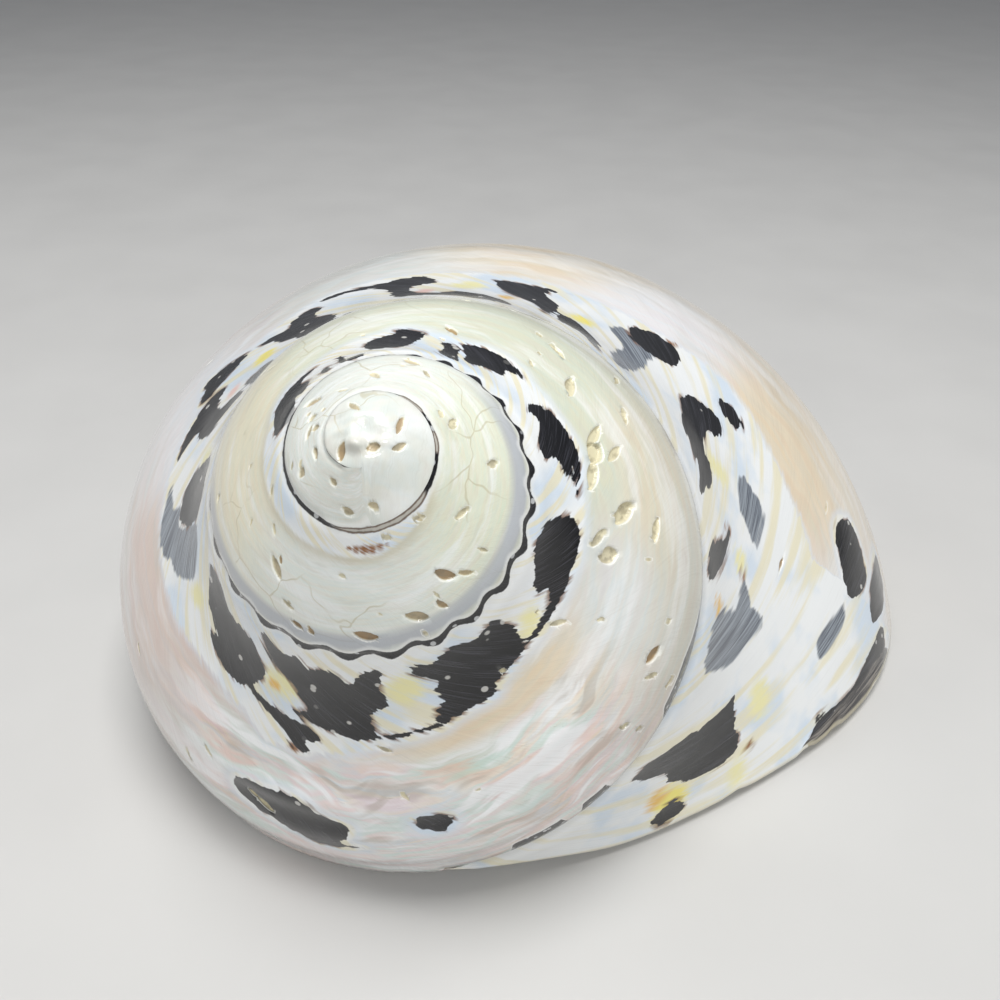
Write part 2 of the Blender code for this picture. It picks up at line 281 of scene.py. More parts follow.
# How an edge pattern splits a triangle: corners 0 to 2, and the middles 3 to 5 of the edges that start there
SPLITS = {
    0: ([0, 1, 2],),
    1: ([0, 3, 2], [3, 1, 2]),
    2: ([3, 1, 4], [0, 3, 4], [0, 4, 2]),
    3: ([0, 3, 5], [3, 1, 4], [5, 4, 2], [3, 4, 5]),
}

# Markings
OUTLINE_MARGIN = 1.6
OUTLINE_STEPS = 4
BASE_LAYER_EDGE = 1.25
BASE_EDGE_WAVE = 0.06
BASE_EDGE_WAVES = 40.0
LIP_RIM = 0.35
MARGIN_WIDTH = ((.40, -1.0), (.44, 1.0), (.52, 2.2), (.66, 2.6), (.74, 1.9), (.82, -1.0))
SCALLOP = 0.24
SCALLOP_TURNS = 0.042

# Seeded flames of the base: their turns, widths and gaps in turns, first columns and spans in columns
FLAME_SEED = 11
FLAME_LEAN = 0.10
FLAME_TURNS = (0.07, 0.98)
FLAME_WIDTHS = (0.010, 0.026)
FLAME_GAPS = (0.012, 0.045)
FLAME_STARTS = (1.26, 1.50)
FLAME_SPANS = (0.25, 0.85)
FLAME_POINTS = 6
FLAME_SWELLS = (0.6, 1.3)

# Spans that fade in and out: start, full, fades, end. The band and scallop are by the turn of their suture
SCALLOP_SPAN = (0.72, 0.78, 1.40, 1.50)
BAND_SPAN = (0.70, 0.76, 1.28, 1.40)
BAND_MM = (0.35, 0.6, 1.3, 2.0)
# Where the nacre is rippled and gets painted glints and sheen, by turn and by column
RIPPLE_AND_SHEEN_TURNS = (0.80, 0.90, 1.10, 1.16)
RIPPLE_AND_SHEEN_COLUMNS = (0.34, 0.44, 1.0, 1.25)

# The dark line along the suture: turn, distance of its middle on the older side, half its width
SEAM_LINE = (
    (0.0, 0.0, .05), (.034, 0.0, .05), (.038, 1.0, .72), (.066, 1.0, .72), (.069, 0.0, .05),
    (.074, 0.0, .05), (.078, 1.0, .72), (.094, 1.0, .72), (.097, 0.0, .05), (.136, 0.0, .05),
    (.143, 1.0, .8), (.17, 1.0, .9), (.20, .45, .45), (.215, .1, .12), (.23, .3, .3), (.28, .3, .3),
    (.33, 0.0, .07), (.70, 0.0, .07), (.73, .1, .25), (1.10, .1, .25), (1.28, .1, .19), (1.45, .05, .14),
    (1.60, 0.0, .10), (1.75, 0.0, .12), (1.90, -.10, .13), (1.97, -.19, .19), (2.11, -.19, .19),
    (2.14, -.12, .14), (2.22, -.12, .14), (2.235, -.15, .18), (2.265, -.15, .18), (2.285, -.12, .14),
    (2.33, -.12, .14), (2.345, -.15, .18), (2.40, -.15, .18), (2.42, -.10, .13), (2.45, -.10, .13),
    (2.47, -.12, .17), (2.52, -.12, .17), (2.54, -.10, .12), (2.60, -.10, .12), (2.65, -.08, .10),
    (2.9, -.04, .04), (3.0, 0.0, 0.0))

# Screen colours, 0 to 255
MILK = (229, 234, 225)
TIP_MILK = (216, 220, 211)
GREEN_CREAM = (222, 226, 202)
CREAM = (230, 224, 194)
SAND = (228, 211, 180)
DULL_GREEN = (208, 213, 190)
DULL_CREAM = (216, 209, 184)
COOL = (216, 220, 216)
PEARL = (232, 232, 234)
BLUSH = (214, 196, 186)
OLIVE_GREY = (202, 200, 184)
HOLLOW_PEARL = (233, 229, 222)
YELLOW = (246, 232, 120)
PALE_YELLOW = (240, 234, 178)
ORANGE = (236, 190, 92)
PINK = (240, 200, 190)
BROWN = (142, 94, 52)

# Tints of the nacre: turn, column, colour
NACRE_TINTS = (
    (3.1, .5, TIP_MILK), (2.55, .5, MILK), (2.2, .5, GREEN_CREAM), (1.95, .5, MILK), (1.7, .6, CREAM),
    (1.55, .5, GREEN_CREAM), (1.38, .5, DULL_GREEN), (1.29, .3, DULL_GREEN), (1.26, .6, DULL_CREAM),
    # The olive grey at turn 1.20, column .9 darkens the whorl towards its lower suture
    (1.20, .9, OLIVE_GREY), (1.17, .45, COOL), (1.10, .4, SAND), (1.04, .35, SAND), (1.08, .8, BLUSH),
    (.98, .6, PEARL), (.88, .5, BLUSH), (.78, .5, BLUSH), (.66, .45, PEARL), (.54, .5, COOL),
    (.46, .6, SAND), (.38, .45, PEARL), (.31, .5, SAND), (.2, .6, PEARL), (.6, .95, BLUSH),
    (.9, .95, BLUSH), (.3, .95, SAND))
TINT_TURN_SCALE = 9.0
TINT_COLUMN_SCALE = 2.2

# Stains of the white layer: turn, column, radius in millimetres, colour
STAINS = (
    (.11, .12, 1.6, ORANGE), (.115, .15, 2.6, YELLOW), (.21, .06, 1.2, ORANGE),
    (.24, .15, 1.5, PALE_YELLOW), (.29, .16, 2.0, PALE_YELLOW), (.145, .27, 2.2, PALE_YELLOW),
    (.18, .25, 2.4, PALE_YELLOW), (.408, .20, 1.7, YELLOW), (.615, .26, 1.7, YELLOW),
    (.895, .185, 1.3, ORANGE), (.90, .17, 2.2, PALE_YELLOW), (.453, .19, 1.2, ORANGE),
    (.48, .27, 2.0, PALE_YELLOW), (.505, .22, 1.2, PINK), (.575, .23, 1.3, PINK), (.645, .25, 1.2, PINK),
    (.70, .16, 1.6, PALE_YELLOW), (.80, .22, 1.5, PALE_YELLOW), (.232, .15, .8, BROWN),
    (.16, .27, .8, BROWN), (.255, .12, .8, BROWN), (.37, .38, .9, BROWN), (.64, .55, .8, BROWN),
    (.92, .385, .8, BROWN), (1.0, .12, 1.8, PALE_YELLOW), (1.12, .16, 1.4, PALE_YELLOW),
    (1.955, .125, .25, BROWN), (1.967, .13, .38, BROWN), (1.980, .135, .45, BROWN),
    (1.993, .14, .45, BROWN), (2.006, .14, .38, BROWN), (2.019, .14, .25, BROWN), (1.10, .26, .9, BROWN))

# Pits in the photo: turn, column, length in millimetres, how brown
PITS = (
    (1.135, .25, 1.4, .1), (1.20, .36, 2.2, .1), (1.21, .30, 1.8, .1), (1.26, .30, 2.4, .2),
    (1.28, .35, 2.6, .1), (1.295, .38, 2.6, .1), (1.235, .43, 2.4, .1), (1.28, .45, 2.0, .3),
    (1.34, .45, 2.0, .1), (1.45, .37, 1.3, .9), (1.23, .60, 2.0, .1), (1.31, .63, 1.6, .1),
    (1.16, .70, 1.8, .9), (1.15, .74, 1.5, .3), (1.12, .75, 1.2, .2), (1.125, .84, 1.1, .4),
    (1.155, .87, 1.2, .5), (1.34, .80, 1.2, .2), (1.375, .60, 1.8, .1), (1.975, .84, 1.7, .9),
    (1.905, .87, 1.0, .8), (1.92, .87, .9, .7), (1.86, .53, 1.8, .5), (1.86, .44, .7, .8),
    (1.89, .75, 1.0, .4), (2.08, .58, 1.5, .9), (2.06, .78, 1.0, .7), (2.24, .58, 1.0, .2),
    (2.30, .25, 1.1, .2), (2.45, .78, 1.2, .5), (2.64, .60, 1.2, .6), (2.71, .33, 1.0, .5),
    (2.80, .64, 1.0, .5), (2.95, .75, 1.0, .5), (3.01, .72, .9, .5), (2.03, .78, 1.6, .6),
    (2.10, .70, 1.1, .6), (.245, .30, 1.4, .9), (.15, .40, 1.3, .3), (.13, .30, 1.2, .3),
    (.98, .33, 1.1, .3), (.99, .52, .9, .2), (.91, .70, 1.8, .2), (.86, .75, 1.4, .2), (.87, .62, 1.2, .1),
    (.80, .66, 1.2, .2), (3.3, .3, 1.3, .7), (3.55, .5, 1.2, .5), (3.85, .6, 1.3, .7), (3.2, .2, 1.0, .5),
    (4.1, .5, 1.1, .6), (2.78, .2, .8, .6), (2.5, .4, 1.0, .4), (2.15, .35, 1.1, .3))

# The painted iridescent sheen over the nacre: place on its noise, colour
PAINTED_IRIDESCENCE = (
    (.30, (196, 224, 214)), (.40, (236, 206, 196)), (.47, (244, 240, 232)), (.54, (204, 222, 232)),
    (.60, (240, 222, 196)), (.68, (226, 196, 200)))
BUMP_HEIGHT = 0.00003

# Screen colours of the material's layers
# White of the painted sheen over the nacre
SHEEN_WHITE = (244, 246, 246)
SHADE = (196, 190, 172)
# Grey of the painted shade between the painted glints, and of the faint growth lines
SHADE_AND_GROWTH_LINE = (176, 164, 150)
# Painted iridescent fringes round the painted glints
MINT = (206, 232, 226)
ROSE = (242, 216, 212)
# Painted highlight of the glints on the pearly front
GLINT = (250, 251, 251)
CRACK = (186, 176, 140)
THIN_WHITE = (214, 226, 237)
WHITE = (239, 241, 240)
CREAM_STREAK = (234, 226, 192)
CHALK = (186, 184, 178)
THIN_RIM = (222, 230, 238)
TAN_RIM = (200, 190, 160)
DARK_GREY = (92, 98, 108)
PALE_GREY = (150, 158, 166)
FRINGE = (120, 78, 42)
BLACKEST = (3, 3, 7)
BLACK_LINES = (96, 96, 106)
BUBBLE = (208, 206, 200)
BAND = (172, 176, 184)
BESIDE_SEAM = (242, 243, 240)
BEAD = (206, 208, 208)
SEAM_BROWN = (112, 98, 86)
SEAM_TAN = (190, 186, 176)
MARGIN_DARK = (46, 44, 46)
MARGIN_PALE = (138, 132, 124)
LIP_CREAM = (228, 218, 186)
PIT_CREAM = (214, 205, 170)
PIT_BROWN = (150, 116, 62)
PIT_SPECK = (110, 96, 66)
PIT_RIM = (240, 239, 230)
PAPER = (198, 197, 194)
PALE_PAPER = (206, 205, 202)

# The growth lines: noise units to a turn, and how they lean back from the suture
GROWTH_LINES_A_TURN = 170.0
GROWTH_LEAN = (-0.20, 0.40)

# How far the white layer reaches round a flame, in millimetres, and the polish
LAYER_ROUND_FLAMES = 0.55
COAT = 0.3
COAT_ROUGHNESS = 0.05
NACRE_IOR = 1.44

# Floor, camera, and the lights' places, sizes and powers
FLOOR_REACH = 1.5
FLOOR_HEIGHT = -0.0003
CAMERA_PLACE = (-0.00373, -0.07754, 0.07022)
CAMERA_PITCH = 0.594
CAMERA_ROLL = 0.017
CAMERA_LENS = 36.36
LIGHTS = {
    "key": ((0.01, -0.05, 0.36), 0.16, 1.0),
    "front": ((0.05, -0.24, 0.27), 0.07, 0.38),
    "side": ((-0.30, 0.05, 0.20), 0.12, 0.12),
}
WORLD_COLOUR = (0.9, 0.93, 1.0, 1.0)
WORLD_STRENGTH = 0.24


def srgb(red, green, blue):
    """The linear colour of a screen colour."""
    share = np.array([red, green, blue]) / 255.0
    return np.where(share <= 0.04045, share / 12.92, ((share + 0.055) / 1.055) ** 2.4)


def rise(value, low, high):
    """0 below low, 1 above high, and smooth between them."""
    share = np.clip((value - low) / (high - low), 0.0, 1.0)
    return share * share * (3.0 - 2.0 * share)


def within(value, start, full, fades, end):
    """1 between full and fades, 0 outside start and end, and smooth between them."""
    return rise(value, start, full) * (1.0 - rise(value, fades, end))


def bump(value, width):
    return np.exp(-(value / width) ** 2)


def table(points, at):
    """A line through (place, value) points, read at each place."""
    places, values = np.array(points).T
    return np.interp(at, places, values)


def growth(turn):
    return WHORL_EXPANSION ** -(turn + GROWTH_SLOWING * turn * turn)


def suture(turn):
    size = growth(turn)
    return np.stack([SUTURE_RADIUS * size, -SUTURE_DEPTH * size ** SPIRE_CURVE], -1)


def direction(angle):
    return np.stack([np.cos(angle), np.sin(angle)], -1)


def bezier(start, start_handle, end_handle, end, share):
    share = np.clip(share, 0.0, 1.0)[..., None]
    rest = 1.0 - share
    return (rest ** 3 * start + 3 * rest ** 2 * share * start_handle
            + 3 * rest * share ** 2 * end_handle + share ** 3 * end)


def outline(turn, column):
    """(radius, height) of the outer surface at each turn and column, from 0 to 3."""
    turn, column = np.broadcast_arrays(np.asarray(turn, float), np.asarray(column, float))
    upper = suture(turn)
    flare = 1.0 + LIP_FLARE * np.clip(1.0 - turn / FLARE_TURNS, 0.0, None) ** 2
    shortfall = np.clip(1.0 - turn, 0.0, None)[..., None] ** 1.5 * np.array(LAST_WHORL_SHORTFALL)
    lower = upper + (suture(turn - 1.0) * (1.0 - shortfall) - upper) * flare[..., None]
    chord = lower - upper
    length = np.linalg.norm(chord, axis=-1)[..., None]
    slope = np.arctan2(chord[..., 1], chord[..., 0])
    relief = np.clip(1.0 + RELIEF_FADES_FROM_TURN - turn, EARLY_WHORL_RELIEF, 1.0)
    leaving = direction(slope - SHOULDER_HOLLOW * relief)
    arriving = direction(slope - PERIPHERY_BULGE * relief)
    side = bezier(upper, upper + SHOULDER_REACH * length * leaving,
                  lower - PERIPHERY_REACH * length * arriving, lower, column)
    lowest = lower - length * np.array([BASE_INSET, BASE_DROP])
    inwards = np.array([-1.0, 0.0])
    base = bezier(lower, lower + BASE_CROWN * BASE_DROP * length * arriving,
                  lowest - 0.5 * BASE_INSET * length * inwards, lowest, column - 1.0)
    edge = np.stack([UMBILICUS_SHARE * lower[..., 0], lowest[..., 1] + UMBILICUS_RISE * length[..., 0]], -1)
    width = (lowest[..., 0] - edge[..., 0])[..., None]
    rim = bezier(lowest, lowest + 0.4 * width * inwards,
                 edge + 0.4 * width * np.array([0.7, -0.5]), edge, column - 2.0)
    column = column[..., None]
    return np.where(column <= 1.0, side, np.where(column <= 2.0, base, rim))


def shell_axes():
    apex_axis = np.array([math.sin(TILT) * math.sin(LEAN_AZIMUTH),
                          -math.sin(TILT) * math.cos(LEAN_AZIMUTH),
                          math.cos(TILT)])
    across = np.cross([0.0, 1.0, 0.0], apex_axis)
    across /= np.linalg.norm(across)
    return np.array([across, np.cross(apex_axis, across), apex_axis])


def place(profile_points, turn):
    """World places of (radius, height) points at their turns, with the ground at height 0."""
    azimuth = SUTURE_END_AZIMUTH + 2.0 * math.pi * np.asarray(turn)
    radius = profile_points[..., 0]
    in_shell = np.stack([radius * np.cos(azimuth), radius * np.sin(azimuth), profile_points[..., 1]], -1)
    return in_shell @ shell_axes() + APEX


def surface(turn, column):
    return place(outline(turn, column), turn)


def umbilicus_wall(start_turn, end_turn, share):
    """Turn and place on the wall that joins the umbilicus's edge to the same edge about a turn earlier."""
    turn = start_turn + share * (end_turn - 1.0 - start_turn)
    start = outline(turn, 3.0)
    return turn, place(start + (outline(turn + 1.0, 3.0) - start) * np.asarray(share)[..., None], turn)


def section(turn):
    """(radius, height) points of the tube's outline at the solid's own steps, for each turn."""
    steps = np.concatenate([np.arange(SIDE_STEPS + 1) / SIDE_STEPS,
                            1.0 + np.arange(1, BASE_STEPS + 1) / BASE_STEPS,
                            2.0 + np.arange(1, RIM_STEPS + 1) / RIM_STEPS])
    outer = outline(turn[:, None], steps)
    before = outline(turn[:, None] + 1.0, steps)
    share = (np.arange(1, UMBILICUS_STEPS) / UMBILICUS_STEPS)[:, None]
    wall = outer[:, -1:] + (before[:, -1:] - outer[:, -1:]) * share
    return np.concatenate([outer, wall, before[:, SIDE_STEPS + 1:][:, ::-1]], 1)


def inset_section(turn, wall):
    """The section moved inwards by its wall, with sharp corners kept short."""
    points = section(turn)
    ahead = np.roll(points, -1, axis=1) - points
    behind = np.roll(ahead, 1, axis=1)
    ahead /= np.linalg.norm(ahead, axis=2, keepdims=True)
    behind /= np.linalg.norm(behind, axis=2, keepdims=True)
    tangent = ahead + behind
    tangent /= np.linalg.norm(tangent, axis=2, keepdims=True)
    normal = np.stack([tangent[..., 1], -tangent[..., 0]], -1)
    cosine = np.clip((tangent * ahead).sum(2), 1.0 / SHARPEST_MITER, 1.0)
    return points + normal * (wall / cosine)[..., None]


def wall_at(turn, since_lip):
    """The wall's thickness at each turn and step, thinner near the lip and in the older whorls."""
    share = np.clip(since_lip / WALL_GROWTH_TURNS, 0.0, 1.0)
    size = growth(turn) ** WALL_TAPER
    walls = np.empty((len(turn), SECTION_STEPS))
    walls[:, :RIM_STEP] = (size * (LIP_WALL + (OUTER_WALL - LIP_WALL) * share))[:, None]
    columella = size * (COLUMELLA_LIP_WALL + (COLUMELLA_WALL - COLUMELLA_LIP_WALL) * share)
    walls[:, RIM_STEP:PARIETAL_STEP] = columella[:, None]
    walls[:, PARIETAL_STEP:] = (PARIETAL_GLAZE * share)[:, None]
    return walls


def ground_turns(point_at, count, height):
    """For each of count columns, the turn where the column rises through height."""
    low, high = np.full(count, LIP_SEARCH[0]), np.full(count, LIP_SEARCH[1])
    underground = place(point_at(low), low)[:, 2] <= height
    for _ in range(SEARCH_STEPS):
        middle = 0.5 * (low + high)
        above = place(point_at(middle), middle)[:, 2] > height
        high = np.where(above, middle, high)
        low = np.where(above, low, middle)
    return np.where(underground, 0.5 * (low + high), 0.0)


def lip_height(column):
    """Height of the lip's cut: on the ground, but level with the suture where the lip begins."""
    suture_height = place(suture(0.0), 0.0)[2]
    return LIP_ROUNDING + (suture_height - LIP_ROUNDING) * (1.0 - rise(column, 0.0, LIP_RISES_TO_COLUMN))


def row_shares(count):
    """Shares of a turn, from 0 to 1, at even distances along a whorl that shrinks as it goes."""
    even = np.arange(count + 1) / count
    return -np.log(1.0 - even * (1.0 - 1.0 / WHORL_EXPANSION)) / math.log(WHORL_EXPANSION)


def smooth_between(points, at):
    """Points of a closed smooth curve through points, at fractional indices."""
    count = len(points)
    index = np.floor(at).astype(int)
    share = (at - index)[:, None]
    before, start, end, after = (points[(index + step) % count] for step in (-1, 0, 1, 2))
    return 0.5 * (2 * start + (end - before) * share
                  + (2 * before - 5 * start + 4 * end - after) * share ** 2
                  + (3 * start - before - 3 * end + after) * share ** 3)


class Patch:
    """A line or grid of vertices, each with the turn, column and depth that the faces there read."""

    def __init__(self, ids, turn, column, inside=0.0):
        self.ids = np.asarray(ids)
        self.turn = np.broadcast_to(turn, self.ids.shape)
        self.column = np.broadcast_to(column, self.ids.shape)
        self.inside = np.broadcast_to(inside, self.ids.shape)

    def __getitem__(self, key):
        return Patch(self.ids[key], self.turn[key], self.column[key], self.inside[key])

    def __add__(self, other):
        return Patch(*(np.concatenate([getattr(self, name), getattr(other, name)])
                       for name in ("ids", "turn", "column", "inside")))

    def values(self):
        return np.stack([self.turn, self.column, self.inside], -1)

    def read_as(self, turn=None, column=None, inside=None):
        return Patch(self.ids, self.turn if turn is None else turn,
                     self.column if column is None else column, self.inside if inside is None else inside)


class Mesh:
    """Vertices, and triangles whose corners carry their own turn, column and inside."""

    def __init__(self):
        self.points = []
        self.count = 0
        self.faces = []
        self.corners = []

    def add(self, points, turn, column, inside=0.0):
        shape = points.shape[:-1]
        self.points.append(points.reshape(-1, 3))
        ids = np.arange(self.count, self.count + self.points[-1].shape[0]).reshape(shape)
        self.count += ids.size
        return Patch(ids, turn, column, inside)

    def triangles(self, first, second, third):
        self.faces.append(np.stack([corner.ids.ravel() for corner in (first, second, third)], -1))
        values = [corner.values().reshape(-1, 3) for corner in (first, second, third)]
        self.corners.append(np.stack(values, 1))

    def grid(self, patch):
        near, right, far, up = patch[:-1, :-1], patch[:-1, 1:], patch[1:, 1:], patch[1:, :-1]
        self.triangles(near, right, far)
        self.triangles(near, far, up)

    def stitch(self, first, second, first_at=None, second_at=None):
        """Triangles between two lines side by side, with each vertex's place along its line if given."""
        if first_at is None:
            first_at = np.linspace(0.0, 1.0, len(first.ids))
            second_at = np.linspace(0.0, 1.0, len(second.ids))
        corners = ([], [], [])
        last_first, last_second = len(first_at) - 1, len(second_at) - 1
        near = far = 0
        while near < last_first or far < last_second:
            along_first = near < last_first and (
                far == last_second
                or first_at[near] + first_at[near + 1] <= second_at[far] + second_at[far + 1])
            corners[0].append(near)
            corners[1].append(near + 1 if along_first else far + 1 + len(first_at))
            corners[2].append(far + len(first_at))
            near, far = (near + 1, far) if along_first else (near, far + 1)
        both = first + second
        self.triangles(*(both[np.array(corner)] for corner in corners))

    def fan(self, loop, centre):
        centre = Patch(np.full(len(loop.ids) - 1, centre.ids), centre.turn, centre.column, centre.inside)
        self.triangles(loop[:-1], loop[1:], centre)


def solid_step(column):
    """The solid's own step number at each column."""
    return np.interp(column, WHOLE_COLUMNS, COLUMN_STEPS)


def solid_column(step):
    return np.interp(step, COLUMN_STEPS, WHOLE_COLUMNS)


def lip_turns(columns):
    """The turn at which the lip cuts each column."""
    turns = ground_turns(lambda turn: outline(turn, columns), len(columns), lip_height(columns))
    turns[columns == 0.0] = 0.0
    return turns


def last_whorl_turns(columns, rows):
    """Turn of each row and column of the last whorl, from the lip to one turn back."""
    lip = lip_turns(columns)
    past_side = np.clip(solid_step(columns) - SIDE_STEPS, 0.0, None)
    back = 1.0 + PARIETAL_SWEEP * past_side / PARIETAL_STEPS
    return lip + (back - lip) * row_shares(rows)[:, None]


def build_shell():
    """The whole closed surface, starting with the last whorl's side, whose lower edge is the periphery."""
    mesh = Mesh()
    side = np.arange(LAST_COLUMNS) / LAST_COLUMNS
    turns = last_whorl_turns(side, LAST_ROWS)[:-1]
    whorl = mesh.add(surface(turns, side), turns, side)
    turns = last_whorl_turns(np.array([1.0]), LAST_ROWS)[:-1, 0]
    periphery = mesh.add(surface(turns, 1.0), turns, 1.0) + whorl[0, :1].read_as(1.0, 1.0)
    mesh.grid(whorl)
    build_spire(mesh, whorl, periphery)
    outer, inner = build_base(mesh, periphery)
    lip = whorl[0] + periphery[:1] + outer[0] + inner[0] + build_umbilicus(mesh, inner[:, -1])
    build_hollow(mesh, lip, outer[-1] + inner[-1], inner.turn[0, -1])
    return mesh


def build_spire(mesh, whorl, lower):
    """The older whorls and the tip. Each whorl stands on the suture line of the one before it in growth."""
    for number, (rows, columns) in enumerate(SPIRE_WHORLS + ((1, SPIRE_WHORLS[-1][1]),), start=1):
        share = np.arange(columns) / columns
        is_end = number > len(SPIRE_WHORLS)
        turns = number + (np.zeros(1) if is_end else row_shares(rows)[:-1])
        turns = np.broadcast_to(turns[:, None], (len(turns), columns))
        upper = mesh.add(surface(turns, share), turns, share)
        mesh.stitch(whorl[-1], upper[0])
        mesh.stitch(lower, whorl[:, -1] + upper[0, -1:])
        lower = whorl[:, 0] + upper[0, :1]
        lower = lower.read_as(turn=lower.turn + 1.0, column=1.0)
        whorl = upper
        if not is_end:
            mesh.grid(whorl)
    cap_loop = whorl[0] + lower[:-1]
    build_cap(mesh, cap_loop + cap_loop[:1])


def cone_height(radius):
    """How far below the apex the suture's spiral lies at a radius, as a negative height."""
    return -SUTURE_DEPTH * (radius / SUTURE_RADIUS) ** SPIRE_CURVE


def cap_coordinates(local):
    """The turn and column that the material reads on the worn tip."""
    return CAP_TURN + CAP_GRAIN * local[:, 0], CAP_COLUMN + CAP_GRAIN * local[:, 1]


def build_cap(mesh, loop):
    """The worn tip, inside the last suture that shows: rings that shrink towards the apex."""
    local = (np.concatenate(mesh.points)[loop.ids[:-1]] - APEX) @ shell_axes().T
    radius = np.hypot(local[:, 0], local[:, 1])
    extra = local[:, 2] - cone_height(radius)
    count = len(local)
    outer = loop.read_as(*cap_coordinates(local[np.append(np.arange(count), 0)]))
    for ring in range(1, CAP_RINGS):
        share = ring / CAP_RINGS
        ring_count = max(12, round(count * (1.0 - share)))
        at = np.arange(ring_count) * count / ring_count
        shrunk = smooth_between(local, at) * (1.0 - share)
        here = np.interp(at, np.arange(count), radius) * (1.0 - share)
        shrunk[:, 2] = cone_height(here) + np.interp(at, np.arange(count), extra) * (1.0 - share) ** 2
        inner = mesh.add(shrunk @ shell_axes() + APEX, *cap_coordinates(shrunk))
        inner = inner + inner[:1]
        mesh.stitch(outer, inner)
        outer = inner
    mesh.fan(outer, mesh.add(APEX[None], CAP_TURN, CAP_COLUMN)[0])


def build_base(mesh, periphery):
    """The base in two grids, finer towards its outside."""
    outer_columns = 1.0 + 0.5 * np.arange(1, OUTER_BASE_COLUMNS + 1) / OUTER_BASE_COLUMNS
    inner_columns = 1.5 + 1.5 * np.arange(1, INNER_BASE_COLUMNS + 1) / INNER_BASE_COLUMNS
    grids = []
    edge = periphery
    for columns, rows in ((outer_columns, LAST_ROWS), (inner_columns, INNER_BASE_ROWS)):
        turns = last_whorl_turns(columns, rows)
        grid = mesh.add(surface(turns, columns), turns, columns)
        mesh.stitch(grid[:, 0], edge)
        mesh.grid(grid)
        edge = grid[:, -1]
        grids.append(grid)
    return grids


def build_umbilicus(mesh, edge):
    """The wall of the umbilicus, a spiral band between its edge and the same edge a turn earlier."""
    rows = UMBILICUS_ROWS
    edge_turns = edge.turn[::(len(edge.ids) - 1) // rows]
    edges = [edge]
    for turn in range(UMBILICUS_TURNS):
        deeper = edge.turn[-1] + turn + np.arange(1, rows + 1) / rows
        edges.append(edges[-1][-1:] + mesh.add(surface(deeper, 3.0), deeper, 3.0))
        edge_turns = np.concatenate([edge_turns, deeper])
    share = np.arange(1, UMBILICUS_COLUMNS) / UMBILICUS_COLUMNS
    row = np.arange(UMBILICUS_TURNS * rows + 1)
    start, end = edge_turns[row][:, None], edge_turns[row + rows][:, None]
    wall_turns, places = umbilicus_wall(start, end, np.broadcast_to(share, (len(row), len(share))))
    wall = mesh.add(places, wall_turns, 3.0 + share)
    mesh.grid(wall)
    for turn in range(UMBILICUS_TURNS):
        span = slice(turn * rows, (turn + 1) * rows + 1)
        upper = edges[turn + 1]
        mesh.stitch(wall[span, 0], edges[turn])
        mesh.stitch(upper.read_as(turn=upper.turn - 1.0, column=4.0), wall[span, -1])
    bottom_turn = edge_turns[-1:]
    bottom = place(outline(bottom_turn, 3.0) * np.array([0.0, 1.0]), bottom_turn)
    mesh.fan(edges[-2][-1:] + wall[-1] + edges[-1][::-1], mesh.add(bottom, bottom_turn, 4.0)[0])
    return wall[0] + edges[1][:1].read_as(edge.turn[0], 4.0)


def own_steps(turns, walls):
    """The inset section's point at each of the solid's steps, where every step has a turn of its own."""
    steps = np.arange(SECTION_STEPS)
    return inset_section(turns, walls)[steps, steps]


def mouth_turns(edge_turn, last_turn):
    """Turn of each of the solid's steps round the mouth of the hollow."""
    lowest = np.minimum(solid_column(np.arange(SECTION_STEPS)), 2.0)
    turns = ground_turns(lambda turn: own_steps(turn, wall_at(turn, np.zeros(len(turn)))),
                         SECTION_STEPS, lip_height(lowest))
    turns[0] = 0.0
    wall_steps = np.arange(1, UMBILICUS_STEPS)
    turns[PARIETAL_STEP - UMBILICUS_STEPS + wall_steps] = (
        edge_turn + wall_steps / UMBILICUS_STEPS * (last_turn - 1.0 - edge_turn))
    turns[PARIETAL_STEP:] = PARIETAL_SWEEP * np.arange(PARIETAL_STEPS, 0, -1) / PARIETAL_STEPS
    return turns


def hollow_ring(first_turns, number):
    """Places and turns at the solid's steps of one ring of the hollow, counted from its mouth."""
    depth = (CAVITY_TURNS - first_turns) * number / CAVITY_RINGS
    turns = first_turns + depth
    return place(own_steps(turns, wall_at(turns, depth)), turns), turns


def build_lip_rim(mesh, lip, mouth):
    """The lip's rounded rim, from the outer surface to the mouth of the hollow, whose edge it returns."""
    outer_edge = np.concatenate(mesh.points)[lip.ids]
    mouth[0] = outer_edge[0]
    mouth[PARIETAL_STEP] = outer_edge[-1]
    inner_edge = smooth_between(mouth, solid_step(lip.column))
    cut = lip_height(lip.column) - LIP_ROUNDING
    outer = lip
    for share in LIP_ROUNDING_SHARES:
        points = outer_edge + share * (inner_edge - outer_edge)
        points[:, 2] = cut + np.minimum(points[:, 2] - cut, LIP_ROUNDING) * abs(2.0 * share - 1.0) ** 4
        inner = mesh.add(points[1:-1], lip.turn[1:-1], lip.column[1:-1], share)
        inner = lip[:1].read_as(inside=share) + inner + lip[-1:].read_as(inside=share)
        mesh.stitch(inner, outer)
        outer = inner
    return outer


